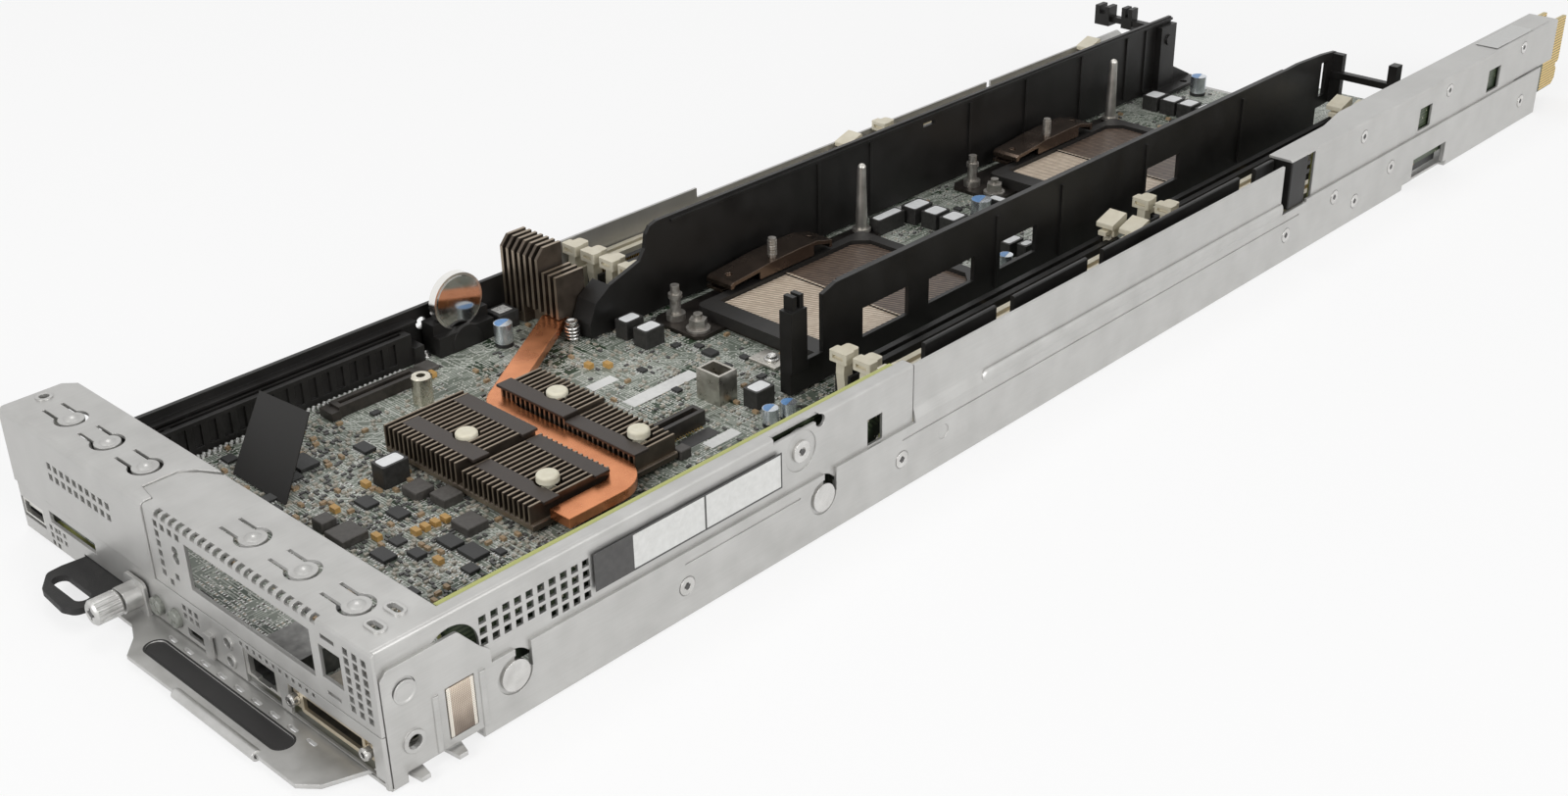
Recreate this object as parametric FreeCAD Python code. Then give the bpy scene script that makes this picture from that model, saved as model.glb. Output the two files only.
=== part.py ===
import FreeCAD, Part
import math
import os

os.makedirs("parts", exist_ok=True)
V = FreeCAD.Vector

# Millimetres. X runs across the sled, Y from the connector face to the rear, Z up.
# The origin is on the tray's underside at mid width, in the plane of the connector face.

# Overall sizes
sled_width = 178.0
half = sled_width / 2
sled_height = 40.4
tray_length = 632.0
floor_left_end = 566.0
floor_middle_end = 596.0
floor_step_x = -4.0
channel_floor_x = half - 17.0
sheet = 1.0
seat = 0.02
running = 0.06

# Tray
left_wall_height = 20.5
left_step_height = 24.3
left_step_start = 203.0
liner_end = 200.8
left_step_end = 276.0
left_joint_y = 457.0
left_joint_gap = 3.0
right_low_wall = 20.5
joggle_depth = 1.0
joggle_z0 = 21.6
joggle_z1 = 25.2
tall_wall_start = 193.6
tall_wall_end = 406.0
tall_wall_top = 39.4
ear_start = 1.4
ear_top = 34.0
ear_slope_y = 30.0
ear_slope_z = 27.0
ear_end = 33.0
lever_gap_y0 = 5.6
lever_gap_y1 = 28.8
lever_gap_height = 3.4
hook_y = 39.6
hook_z = 13.2
hook_pitch = 113.0
hook_radius = 3.0
hook_ring = 6.3
hook_slot = 5.0
dimple_radius = 3.3
pad_y0 = 18.9
pad_y1 = 27.0
pad_z0 = 5.8
pad_z1 = 20.2
bead_front_y = 15.6
bead_rear_y = 29.6
bead_width = 1.9
bead_rise = 0.5
rear_notch_y0 = 513.0
rear_notch_y1 = 542.0
rear_notch_top = 11.6
scribe_z = 16.8
scribe_width = 0.5
scribe_depth = 0.35

# Connector panel and cage
seam_z = 16.4
panel_slot_top = 3.2
panel_slot_x0 = -24.0
panel_slot_x1 = 87.7
cage_split_x = -11.0
cover_split_x = -18.0
cover_lift = 0.5
plate_depth = 22.6
cage_wall_end = 193.2
cage_wall_base = 17.4
flange_width = 4.2
window_x0 = 8.2
window_x1 = 63.6
window_z0 = 21.8
window_z1 = 35.6
side_window_x0 = 66.9
side_window_x1 = 75.6
side_window_z0 = 23.6
side_window_z1 = 33.2
vent = 2.2
vent_pitch = 3.55
tab_pitch_cover = 20.0
tab_first_cover = -66.8
tab_first_cage = 25.0
tab_pitch_cage = 22.1
tab_y = 10.4
tab_disc = 3.7
tab_ring = 4.8
tab_slit = 1.0
tab_reach = 10.6
tab_half = 2.3
notch_count = 21
notch_pitch = 3.5
notch_first = -5.0

# Boards
board_z = 4.2
board_thickness = 1.6
board_top = board_z + board_thickness
board_left = -half + 1.6
board_right = half - 9.6
board_front = 4.4
board_screw = 1.45
board_left_rear = 551.0
board_right_rear = 585.0
board_step_x = 4.0
board_notch_y = 536.0
riser_x = half - 7.6
riser_thickness = 1.6
riser_front = 23.4
riser_rear = 190.0
riser_top = 39.2
rear_board_reach = 657.0
rear_board_step_y = rear_board_reach - 21.0
inner_board_x = half - 12.6
inner_board_start = 546.0
outer_board_start = 432.0
outer_board_x = half - 4.4

# Processors
cpu_x = -2.0
cpu_y = 263.4
cpu_pitch = 166.8
frame_half_x = 31.5
frame_front = 42.0
frame_back = 46.0
frame_thickness = 4.2
field_half_x = 27.6
field_front = 34.0
field_back = 41.0
bolster_thickness = 1.4
plate_left = -43.8
tongue_front = -54.6
tongue_right = -19.4
post_x = -38.4
post_y = 51.8
bar_x0 = -42.2
bar_x1 = -30.0
bar_front = -27.8
bar_rear = 25.6
stud_x = -33.4
stud_y = -3.0

# Memory
socket_length = 150.0
socket_width = 6.6
socket_height = 9.4
memory_pitch = 9.9
right_bank_x = 45.2
left_bank_x = -84.1
bank_y = 210.2
bank_gap = 20.3
bank_pitch = socket_length + bank_gap
latch_height = 18.2
latch_pin = 1.1
latch_inset = 2.0
latch_pin_rise = 3.6
cap_half = 3.6
front_cap_reach = 4.6
rear_cap_reach = 5.8

# Air ducts
duct_wall = 1.6
duct_top = 40.2
left_duct_x = -47.6
right_duct_x = 30.4
duct_front = 218.0
duct_rear = 541.0
tail_rear = 547.4
tail_bar_end = 63.0
skirt_x = half - 9.4
skirt_top = 39.3
skirt_foot = 1.1
skirt_front = 207.0
skirt_rear = 410.0
skirt_gaps = [(242.0, 251.2), (291.0, 300.2), (386.0, 397.0)]

# Cam handle
lever_z = 1.5
lever_thickness = 1.2
pivot_x = 76.0
pivot_y = 15.0
pivot_radius = 2.6
prong_reach = 16.4
lip_front = -14.6
lip_left = -8.0
lip_right = 71.8
neck_left = -26.0
screw_x = -21.4
screw_z = 8.2
screw_head = 3.7

# Buttons
button_radius = 2.75
power_place = (-12.4, 7.8)
marker_place = (-3.4, 7.8)

# Heatsink
sink_x0 = -36.0
sink_x1 = 32.4
sink_y0 = 91.0
sink_y1 = 148.0
sink_base = 2.2
sink_gap_y0 = 121.4
sink_gap_y1 = 131.4
sink_high = 16.4
sink_low = 15.0
fin_pitch = 2.3
fin_thickness = 0.9
pin_pitch_x = 37.5
pin_pitch_y = 35.8
pin_x = -12.2
pin_y = 104.3
pin_top = 17.6
pin_head = 3.5
stack_x = -86.7
stack_y0 = 179.4
stack_y1 = 190.4
stack_base_z = 7.8
stack_top = 36.0
stack_low_top = 28.4
stack_pitch = 3.1
pipe_width = 8.4
pipe_thickness = 3.2


def box(x0, x1, y0, y1, z0, z1):
    return Part.makeBox(x1 - x0, y1 - y0, z1 - z0, V(x0, y0, z0))


def rod(x, y, z, radius, length, axis=V(0, 0, 1)):
    return Part.makeCylinder(radius, length, V(x, y, z), axis)


def prism_x(points, x0, x1):
    wire = Part.makePolygon([V(x0, y, z) for y, z in points + points[:1]])
    return Part.Face(wire).extrude(V(x1 - x0, 0, 0))


def prism_y(points, y0, y1):
    wire = Part.makePolygon([V(x, y0, z) for x, z in points + points[:1]])
    return Part.Face(wire).extrude(V(0, y1 - y0, 0))


def prism_z(points, z0, z1):
    wire = Part.makePolygon([V(x, y, z0) for x, y in points + points[:1]])
    return Part.Face(wire).extrude(V(0, 0, z1 - z0))


def fuse(shapes):
    shapes = list(shapes)
    if len(shapes) == 1:
        return shapes[0]
    return shapes[0].fuse(shapes[1:]).removeSplitter()


def cut(shape, tools):
    tools = list(tools)
    return shape.cut(tools[0] if len(tools) == 1 else Part.makeCompound(tools))


def group(shapes):
    return Part.makeCompound(list(shapes))


def rounded(shape, radius, picks):
    """Fillets every edge whose middle lies close to one of the points picked."""
    edges = []
    for edge in shape.Edges:
        middle = edge.valueAt((edge.FirstParameter + edge.LastParameter) / 2)
        for pick in picks:
            far = [abs(a - b) for a, b in zip(middle, pick) if b is not None]
            if max(far) < 0.05:
                edges.append(edge)
                break
    return shape.makeFillet(radius, edges)


def long_round(shape, radius, axis):
    """Fillets every edge that runs along the named axis."""
    edges = [e for e in shape.Edges if straight_along(e, axis)]
    return shape.makeFillet(radius, edges)


def straight_along(edge, axis):
    if len(edge.Vertexes) != 2:
        return False
    run = edge.Vertexes[1].Point.sub(edge.Vertexes[0].Point)
    return run.Length > 1e-6 and abs(run.normalize().dot(axis)) > 0.999


def stadium(x0, x1, y, radius, z0, z1):
    """An upright slot shape along X with round ends."""
    middle = box(x0, x1, y - radius, y + radius, z0, z1)
    ends = [rod(x, y, z0, radius, z1 - z0) for x in (x0, x1)]
    return fuse([middle] + ends)


def moved(shape, dx=0.0, dy=0.0, dz=0.0):
    copy = shape.copy()
    copy.translate(V(dx, dy, dz))
    return copy


def save(name, shape):
    shape.exportStep(os.path.join("parts", name + ".step"))


def hex_ring(x, y, z, across, height, bore):
    radius = across / math.sqrt(3)
    corners = [
        (x + radius * math.cos(math.pi * k / 3), y + radius * math.sin(math.pi * k / 3))
        for k in range(6)
    ]
    return prism_z(corners, z, z + height).cut(rod(x, y, z - 1, bore, height + 2))


# The tray's pieces of sheet metal

inner = half - sheet
shelf = half - joggle_depth


def tray():
    floor = prism_z(
        [
            (-half, sheet),
            (half, sheet),
            (half, tray_length),
            (channel_floor_x, tray_length),
            (channel_floor_x, floor_middle_end),
            (floor_step_x, floor_middle_end),
            (floor_step_x, floor_left_end),
            (-half, floor_left_end),
        ],
        0,
        sheet,
    )
    front_left = box(-half, -inner, sheet, left_step_start, 0, left_wall_height)
    step = box(-half, -inner, left_step_start, left_step_end, 0, left_step_height)
    middle_left = box(-half, -inner, left_step_end, left_joint_y, 0, left_wall_height)
    rear_y = left_joint_y + left_joint_gap
    rear_left = prism_x(
        [
            (rear_y, 0),
            (floor_left_end, 0),
            (floor_left_end, 16),
            (floor_left_end - 6, left_wall_height),
            (rear_y, left_wall_height),
        ],
        -half,
        -inner,
    )
    joint_web = box(-half, -inner, left_joint_y, rear_y, 0, left_wall_height - 3.2)
    low = prism_x(
        [
            (ear_start, 0),
            (tray_length, 0),
            (tray_length, right_low_wall),
            (ear_end, right_low_wall),
            (ear_end, ear_slope_z - 2.5),
            (ear_slope_y, ear_slope_z),
            (ear_slope_y - 6.0, ear_top + 0.2),
            (ear_start + 2.2, ear_top),
            (ear_start, ear_top - 2.2),
        ],
        inner,
        half,
    )
    low = rounded(low, 1.6, [(half - sheet / 2, ear_slope_y - 6.0, ear_top + 0.2)])
    profile = [
        (inner, right_low_wall - 4),
        (half, right_low_wall - 4),
        (half, joggle_z0),
        (shelf, joggle_z1),
        (shelf, tall_wall_top),
        (shelf - sheet, tall_wall_top),
        (shelf - sheet, joggle_z1 - 0.5),
        (inner, joggle_z0 - 0.5),
    ]
    tall = prism_y(profile, tall_wall_start, tall_wall_end)
    rear_low = box(inner, half, tall_wall_end, tray_length, right_low_wall, joggle_z0)
    rear_low = rear_low.cut(box(inner - 1, half + 1, tall_wall_end, tall_wall_end + 18.0, right_low_wall + seat, 30))
    hooks = [0.0, hook_pitch]
    rings = [rod(inner - 0.6, hook_y + dy, hook_z, hook_ring, 0.62, V(1, 0, 0)) for dy in hooks]
    solids = [floor, front_left, step, middle_left, rear_left, joint_web, low, tall, rear_low]
    body = fuse(solids + rings)
    cuts = []
    for dy in hooks:
        y = hook_y + dy
        cuts.append(rod(half - 0.6, y, hook_z, hook_ring - 0.9, 1.0, V(1, 0, 0)))
        cuts.append(rod(inner - 2, y, hook_z, hook_radius, 5, V(1, 0, 0)))
        cuts.append(box(inner - 2, half + 2, y + 0.6, y + 0.6 + hook_slot, hook_z, right_low_wall + 1))
    cuts.append(box(inner - 9, half + 1, lever_gap_y0, lever_gap_y1, -1, lever_gap_height))
    cuts.append(box(inner - 1, half + 1, pad_y0 - 0.3, pad_y1 + 0.3, pad_z0 - 0.3, pad_z1 + 0.3))
    cuts.append(rod(inner - 3, 8.5, 11.2, 2.0, 7, V(1, 0, 0)))
    cuts.append(rod(half - 0.4, 7.6, 26.8, dimple_radius, 1, V(1, 0, 0)))
    cuts.append(box(inner - 2, half + 1, rear_notch_y0, rear_notch_y1, sheet, rear_notch_top))
    cuts.append(box(inner - 2, half + 1, 505.5, rear_notch_y1 + 2.6, -1, 2.6))
    cuts.append(box(half - scribe_depth, half + 1, 98.0, 143.0, scribe_z, scribe_z + scribe_width))
    cuts.append(box(half - scribe_depth, half + 1, 187.5, 419.0, scribe_z, scribe_z + scribe_width))
    cuts.append(rod(half - 0.3, 207.0, 12.0, 2.4, 1, V(1, 0, 0)))
    cuts.append(rod(-half - 1, 54.8, 16.2, 1.5, 4, V(1, 0, 0)))
    cuts.append(rod(-half - 1, 143.6, 15.4, 2.2, 4, V(1, 0, 0)))
    for y, z in wall_screws:
        cuts.append(rod(half - 0.35, y, z, 2.9, 1, V(1, 0, 0)))
    body = cut(body, cuts)
    adds = []
    for y in (bead_front_y, bead_rear_y):
        bead = box(half - 0.5, half + bead_rise, y - bead_width / 2, y + bead_width / 2, 3.8, 20.2)
        adds.append(long_round(bead, 0.45, V(0, 0, 1)))
    flange = rod(half - 0.5, 8.5, 11.2, 3.2, 1.1, V(1, 0, 0))
    adds.append(flange.cut(rod(half - 3, 8.5, 11.2, 2.0, 7, V(1, 0, 0))))
    for x, y in board_posts:
        post = rod(x, y, sheet - 0.3, 2.6, board_z - sheet + 0.3 - seat)
        adds.append(post.cut(rod(x, y, sheet + 1.0, board_screw + running, board_z)))
    body = fuse([body] + adds)
    return rounded(body, 0.9, [(half, None, 0), (-half, None, 0)])


wall_screws = [
    (98.3, 10.0),
    (187.4, 10.6),
    (410.7, 11.1),
    (446.3, 15.6),
    (464.0, 8.6),
    (492.5, 14.6),
    (614.6, 10.3),
]
upper_screws = [(467.4, 34.1), (540.3, 34.1), (611.2, 35.4)]
board_posts = [
    (board_left + 5.4, 22.4),
    (board_right - 5.4, 40.0),
    (board_left + 4.2, 172.0),
    (board_right - 5.4, 196.0),
    (25.6, 372.6),
    (24.8, 492.0),
    (board_left + 7.4, 545.0),
    (board_right - 13.4, 574.0),
]


def square_vents(columns, rows, x0, z0, pitch_x, pitch_z, size):
    found = []
    for column in range(columns):
        for row in range(rows):
            x = x0 + column * pitch_x - size / 2
            z = z0 - row * pitch_z - size / 2
            found.append(box(x, x + size, -2, 3, z, z + size))
    return found


def io_panel():
    plate = box(-half, half, 0, sheet, sheet, seam_z)
    lower = box(-half + 1.2, half - 1.2, 0, 5.0, seam_z - 0.8, seam_z - 0.02)
    body = fuse([plate, lower])
    body = rounded(body, 0.6, [(-half, 0, None), (half, 0, None)])
    cuts = [
        box(panel_slot_x0, panel_slot_x1, -1, 6, 0, panel_slot_top),
        box(-88.4, -75.4, -1, 2, 4.9, 11.5),
        box(-71.0, -45.0, -1, 2, 9.4, 13.2),
        rod(screw_x, -2, screw_z, 2.1, 6, V(0, 1, 0)),
        rod(power_place[0], -2, power_place[1], button_radius + running, 6, V(0, 1, 0)),
        rod(marker_place[0], -2, marker_place[1], button_radius + running, 6, V(0, 1, 0)),
        box(1.6, 9.6, -1, 2, 4.4, 7.0),
        rod(22.7, -2, 12.2, 1.5, 6, V(0, 1, 0)),
        rod(22.7, -2, 6.4, 1.5, 6, V(0, 1, 0)),
        box(29.2, 45.0, -1, 2, 3.3, 13.9),
        box(49.0, 84.4, -1, 2, 3.3, 12.6),
        box(-53.2, -27.8, -1, 2, 3.6, 6.2),
    ]
    cuts += square_vents(2, 3, -72.0, 7.2, 3.0, 2.6, 1.7)
    cuts += square_vents(4, 2, -67.0, 7.4, 2.9, 2.6, 1.6)[:4]
    cuts += square_vents(3, 2, 1.6, 13.2, 2.9, 2.7, 1.8)
    cuts += square_vents(12, 1, 29.0, 14.9, 2.9, 2.7, 1.3)
    body = cut(body, cuts)
    tongue = box(12.0, 15.4, -1.4, -0.6, 3.8, 11.0)
    root = box(12.0, 15.4, -1.4, 0.4, 10.2, 11.0)
    rim = [rod(x, -0.5, 12.2 if k == 0 else 6.4, 2.1, 0.8, V(0, 1, 0)) for k, x in enumerate((22.7, 22.7))]
    rims = [r.cut(rod(22.7, -3, z, 1.5, 8, V(0, 1, 0))) for r, z in zip(rim, (12.2, 6.4))]
    return fuse([body, tongue, root] + rims)


def finger_tab(x, top):
    """The cut round one sprung finger, and the dome on its disc."""
    low = top - sheet - 1
    ring = rod(x, tab_y, low, tab_ring, sheet + 3).cut(rod(x, tab_y, low - 1, tab_disc, sheet + 5))
    neck = box(x - tab_ring - 1, x - tab_disc * 0.6, tab_y - tab_half, tab_y + tab_half, low - 1, top + 3)
    ring = ring.cut(neck)
    slits = []
    for side in (-1, 1):
        y0 = tab_y + side * (tab_half + tab_slit / 2) - tab_slit / 2
        slits.append(box(x - tab_reach, x - tab_disc * 0.6, y0, y0 + tab_slit, low, top + 2))
    removed = [ring]
    for slit in slits:
        removed.append(slit.cut(rod(x, tab_y, low - 1, tab_disc, sheet + 5)))
    ball = Part.makeSphere(3.1, V(x, tab_y, top - 2.1))
    dome = ball.common(box(x - 4, x + 4, tab_y - 4, tab_y + 4, top - 0.3, top + 3))
    return removed, dome


def blank_cover():
    x0, x1 = -half, cage_split_x - 0.15
    top = sled_height
    front = box(x0, x1, -0.4, sheet - 0.4, seam_z + 0.3, top)
    plate = prism_z(
        [
            (x0, -0.4),
            (x1, -0.4),
            (x1, 3.2),
            (cover_split_x - 0.2, 4.4),
            (cover_split_x - 0.2, 15.0),
            (cover_split_x + 3.0, 18.8),
            (cover_split_x + 9.0, plate_depth),
            (x0 + 3.4, plate_depth),
            (x0, plate_depth - 3.4),
        ],
        top - sheet,
        top,
    )
    side = box(x0, x0 + sheet, -0.4, plate_depth - 3.4, left_wall_height + 0.3, top)
    body = fuse([front, plate, side])
    body = rounded(body, 1.9, [(None, -0.4, top)])
    removed = square_vents(10, 1, -62.9, 31.1, vent_pitch, 3, vent)
    removed += square_vents(10, 1, -63.1, 27.5, vent_pitch, 3, vent)
    domes = []
    for k in range(3):
        taken, dome = finger_tab(tab_first_cover + k * tab_pitch_cover, top)
        removed += taken
        domes.append(dome)
    removed.append(rod(-84.6, 11.6, top - 3, 1.5, 5))
    ring = rod(-84.6, 11.6, top - 0.2, 2.5, 0.6).cut(rod(-84.6, 11.6, top - 3, 1.5, 5))
    return fuse([cut(body, removed), ring] + domes)


def riser_cage():
    top = sled_height - cover_lift
    wall_out = shelf
    wall_in = wall_out - sheet
    face = box(cage_split_x, half, 0, sheet, seam_z + 0.3, top)
    plate = prism_z(
        [
            (cage_split_x, 0),
            (half, 0),
            (half, 1.2),
            (wall_out, 1.2),
            (wall_out, cage_wall_end),
            (wall_out - flange_width, cage_wall_end),
            (wall_out - flange_width, plate_depth),
            (cover_split_x + 10.4, plate_depth),
            (cover_split_x + 4.2, 19.0),
            (cover_split_x, 15.4),
            (cover_split_x, 4.6),
            (cage_split_x, 3.4),
        ],
        top - sheet,
        top,
    )
    wall = box(wall_in, wall_out, 0.5, cage_wall_end, cage_wall_base, top)
    body = fuse([face, plate, wall])
    body = rounded(body, 0.9, [(wall_out, None, top), (None, 0, top)])
    removed = [
        box(window_x0, window_x1, -1, 2, window_z0, window_z1),
        box(side_window_x0, side_window_x1, -1, 2, side_window_z0, side_window_z1),
        box(68.4, 74.0, -1, 2, 35.6, 36.8),
        box(68.0, 73.6, -1, 2, 19.0, 20.1),
    ]
    removed.append(fuse([rod(2.7, -1, 28.6, 1.5, 3, V(0, 1, 0)), rod(2.7, -1, 31.0, 1.5, 3, V(0, 1, 0))]))
    removed += square_vents(1, 6, -5.4, 36.2, 3, 3.0, 2.0)
    removed += square_vents(3, 1, -2.0, 36.2, 3.6, 3.0, 2.0)
    removed += square_vents(2, 2, -2.0, 22.6, 3.4, 3.0, 1.9)[1:3]
    removed += square_vents(3, 7, 78.4, 36.3, 3.6, 2.75, 2.0)
    for k in range(notch_count):
        x = notch_first + k * notch_pitch
        slot = prism_z([(x, -1), (x + 2.1, -1), (x + 1.5, 2.1), (x - 0.6, 2.1)], top - 1.5, top + 1)
        removed.append(slot)
    for row in range(3):
        for column in range(10):
            y = 32.2 + column * 3.65 - vent / 2
            z = 33.0 - row * 3.18 - vent / 2
            removed.append(box(wall_in - 1, wall_out + 1, y, y + vent, z, z + vent))
    for column in range(6, 10):
        y = 32.2 + column * 3.65 - vent / 2
        z = 33.0 - 3 * 3.18 - vent / 2
        removed.append(box(wall_in - 1, wall_out + 1, y, y + vent, z, z + vent))
    arch = rod(wall_in - 1, 22.4, 27.6, 8.2, sheet + 2, V(1, 0, 0))
    removed.append(arch)
    removed.append(box(wall_in - 1, wall_out + 1, 14.2, 30.6, cage_wall_base - 1, 27.6))
    for dy in (0.0, hook_pitch):
        removed.append(rod(wall_in - 1, hook_y + dy, hook_z, hook_ring + 0.5, sheet + 2, V(1, 0, 0)))
    removed.append(box(wall_in - 1, wall_out + 1, 133.6, 152.6, 38.0, top + 1))
    removed.append(rod(wall_in - 1, 152.6, 37.8, 1.9, sheet + 2, V(1, 0, 0)))
    removed.append(box(wall_in - 1, wall_out + 1, 172.8, 179.4, 20.9, 29.5))
    removed.append(rod(wall_in - 2, 144.5, 31.4, 1.9, sheet + 4, V(1, 0, 0)))
    removed.append(rod(wall_out - 0.35, 144.5, 31.4, 6.2, 1, V(1, 0, 0)))
    domes = []
    for k in range(3):
        taken, dome = finger_tab(tab_first_cage + k * tab_pitch_cage, top)
        removed += taken
        domes.append(dome)
    for x, y in ((77.6, 15.4), (80.0, 8.0)):
        removed.append(stadium(x - 1.4, x + 1.4, y, 1.1, top - 3, top + 1))
    body = cut(body, removed)
    for x, y in ((77.6, 15.4), (80.0, 8.0)):
        rim = stadium(x - 1.4, x + 1.4, y, 2.0, top - 0.2, top + 0.5)
        domes.append(rim.cut(stadium(x - 1.4, x + 1.4, y, 1.1, top - 3, top + 2)))
    boss = rod(wall_in - 0.8, 144.5, 31.4, 6.4, 1.0, V(1, 0, 0))
    boss = boss.cut(rod(wall_in - 3, 144.5, 31.4, 1.9, 6, V(1, 0, 0)))
    return fuse([body, boss] + domes)


def left_baffle():
    """The black liner of the left wall, with a top lip folded over the steel."""
    x0 = -inner + running
    wall = box(x0, x0 + 1.0, 23.6, liner_end, board_top + 0.3, left_wall_height + 0.9)
    lip = box(-half, x0 + 1.0, 23.6, liner_end, left_wall_height + running, left_wall_height + 0.9)
    ledge = box(x0, x0 + 4.0, 40.0, 140.0, 17.6, 18.5)
    body = fuse([wall, lip, ledge])
    body = rounded(body, 0.5, [(-half, None, left_wall_height + 0.9)])
    holes = [rod(-half - 1, 54.8, 16.2, 1.5, 4, V(1, 0, 0)), rod(-half - 1, 143.6, 15.4, 2.2, 4, V(1, 0, 0))]
    return cut(body, holes)


def rear_channel():
    """The closed channel over the two adapter boards, with its inner and outer walls."""
    y0, y1 = 428.4, 645.0
    top = sled_height
    outer = shelf
    top_plate = prism_z(
        [
            (half - 10.6, 411.0),
            (outer, 411.0),
            (outer, y1),
            (half - 14.4, y1),
            (half - 14.4, 470.0),
            (half - 11.0, 452.0),
        ],
        top - sheet,
        top,
    )
    wall = box(outer - sheet, outer, y0, y1, joggle_z0 + 0.3, top)
    foot = box(inner - sheet - 0.1, inner - 0.04, y0, y1 - 39.0, sheet + seat, joggle_z0 + 0.3 + sheet)
    shoulder = box(inner - sheet - 0.1, outer, y0, y1, joggle_z0 + 0.3, joggle_z0 + 0.3 + sheet)
    body = fuse([top_plate, wall, shoulder, foot])
    body = rounded(body, 0.9, [(outer, None, top)])
    cuts = [
        box(outer - 4, outer + 2, 514.8, 525.4, joggle_z0 + 1.6, 32.6),
        box(outer - 4, outer + 2, 577.8, 589.2, joggle_z0 + 1.6, 33.0),
        box(inner - 4, half + 1, rear_notch_y0, rear_notch_y1, 0, rear_notch_top),
        box(inner - 4, half + 1, 505.5, rear_notch_y1 + 2.6, -1, 2.6),
    ]
    for y, z in upper_screws:
        cuts.append(rod(outer - 0.35, y, z, 2.7, 1, V(1, 0, 0)))
    body = cut(body, cuts)
    label_step = box(half - 9.4, half - 2.8, y1 - 47.0, y1 - 5.0, top - 0.02, top + 0.25)
    return fuse([body, label_step])


def end_block():
    body = box(half - 10.4, shelf, 411.4, 423.4, right_low_wall + 0.3, sled_height - sheet - 0.05)
    groove = box(half - 13.0, half - 8.8, 415.8, 419.0, 24, 36)
    return long_round(body, 0.6, V(0, 0, 1)).cut(groove)


def system_board():
    outline = [
        (board_left, board_front),
        (board_right, board_front),
        (board_right, board_notch_y - 8.0),
        (channel_floor_x, board_notch_y),
        (channel_floor_x, board_right_rear),
        (board_step_x, board_right_rear),
        (board_step_x, board_left_rear),
        (board_left, board_left_rear),
    ]
    board = prism_z(outline, board_z, board_top)
    return cut(board, [rod(x, y, 0, board_screw + 0.15, 10) for x, y in board_posts])


def riser_board():
    points = [
        (riser_front, 12.0),
        (riser_front, riser_top),
        (riser_rear, riser_top),
        (riser_rear, 12.0),
        (170.0, 12.0),
        (166.0, 8.0),
        (60.0, 8.0),
        (56.0, 12.0),
    ]
    board = prism_x(points, riser_x, riser_x + riser_thickness)
    holes = [rod(riser_x - 1, y, z, 1.7, 4, V(1, 0, 0)) for y, z in ((30, 34), (184, 34), (184, 17))]
    return cut(board, holes)


def adapter_board(x0, start, reach, low_front):
    """One tall adapter board; its contact tongue sticks out behind the channel."""
    points = [
        (start, low_front),
        (start, sled_height - sheet - 0.4),
        (rear_board_step_y + 4.0, sled_height - sheet - 0.4),
        (reach, sled_height - 1.6),
        (reach, 18.6),
        (reach - 1.2, 17.4),
        (reach - 2.8, 17.4),
        (reach - 2.8, 15.8),
        (reach - 1.4, 14.6),
        (reach - 1.4, 10.0),
        (reach - 4.0, 7.6),
        (rear_board_step_y, low_front),
    ]
    board = prism_x(points, x0, x0 + 1.6)
    holes = [rod(x0 - 1, start + 8.0 + k * 30.0, 26, 1.6, 4, V(1, 0, 0)) for k in range(3)]
    return cut(board, holes)


def card_slot():
    """The long card connector beside the left liner."""
    x0, x1 = -85.2, -79.6
    body = box(x0, x1, 30.0, 134.0, board_top + seat, 17.0)
    groove = box(x0 + 1.9, x1 - 1.9, 33.0, 131.6, 9.0, 18.0)
    ribs = [box(x1 - 0.9, x1 + 1, y, y + 3.0, 8.2, 15.6) for y in [36 + 5.2 * k for k in range(18)]]
    body = cut(body, [groove] + ribs)
    key = box(x0 + 1.9, x1 - 1.9, 44.4, 46.4, 9.0, 16.4)
    latch = box(x0 - 0.2, x1 + 1.2, 134.0, 138.0, board_top + seat, 12.0)
    return fuse([body, key, latch])


def leaning_card():
    """The thin black insulating sheet that leans over the front of the board."""
    points = [
        (-61.0, 53.0, board_top + 0.2),
        (-33.0, 53.0, board_top + 0.2),
        (-47.2, 74.6, 22.4),
        (-72.4, 72.4, 22.6),
    ]
    base = V(*points[0])
    across = V(*points[1]).sub(base)
    up = V(*points[3]).sub(base)
    normal = across.cross(up).normalize()
    flat = [V(*p) for p in points]
    flat[2] = flat[2].sub(normal.multiply(flat[2].sub(base).dot(normal)))
    wire = Part.makePolygon(flat + flat[:1])
    normal = across.cross(up).normalize()
    return Part.Face(wire).extrude(normal.multiply(0.5))


def edge_socket():
    body = box(-72.0, -66.4, 95.0, 127.4, board_top + seat, 9.8)
    slot = box(-70.2, -68.2, 97.0, 125.4, 7.6, 11)
    ears = [box(-72.6, -65.8, y, y + 3.4, board_top + seat, 8.8) for y in (91.8, 127.2)]
    return fuse([body.cut(slot)] + ears)


def board_post():
    post = rod(-55.6, 119.8, board_top + seat, 3.4, 9.6)
    post = post.makeChamfer(0.4, [e for e in post.Edges if abs(e.BoundBox.ZMin - board_top - seat - 9.6) < 0.01])
    return post.cut(rod(-55.6, 119.8, board_top + 3, 1.5, 9))


def coin_cell():
    cell = rod(-82.2, 154.2, 22.4, 10.0, 3.2, V(1, 0, 0))
    step = rod(-79.1, 154.2, 22.4, 8.9, 0.5, V(1, 0, 0))
    return fuse([cell, step])


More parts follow.
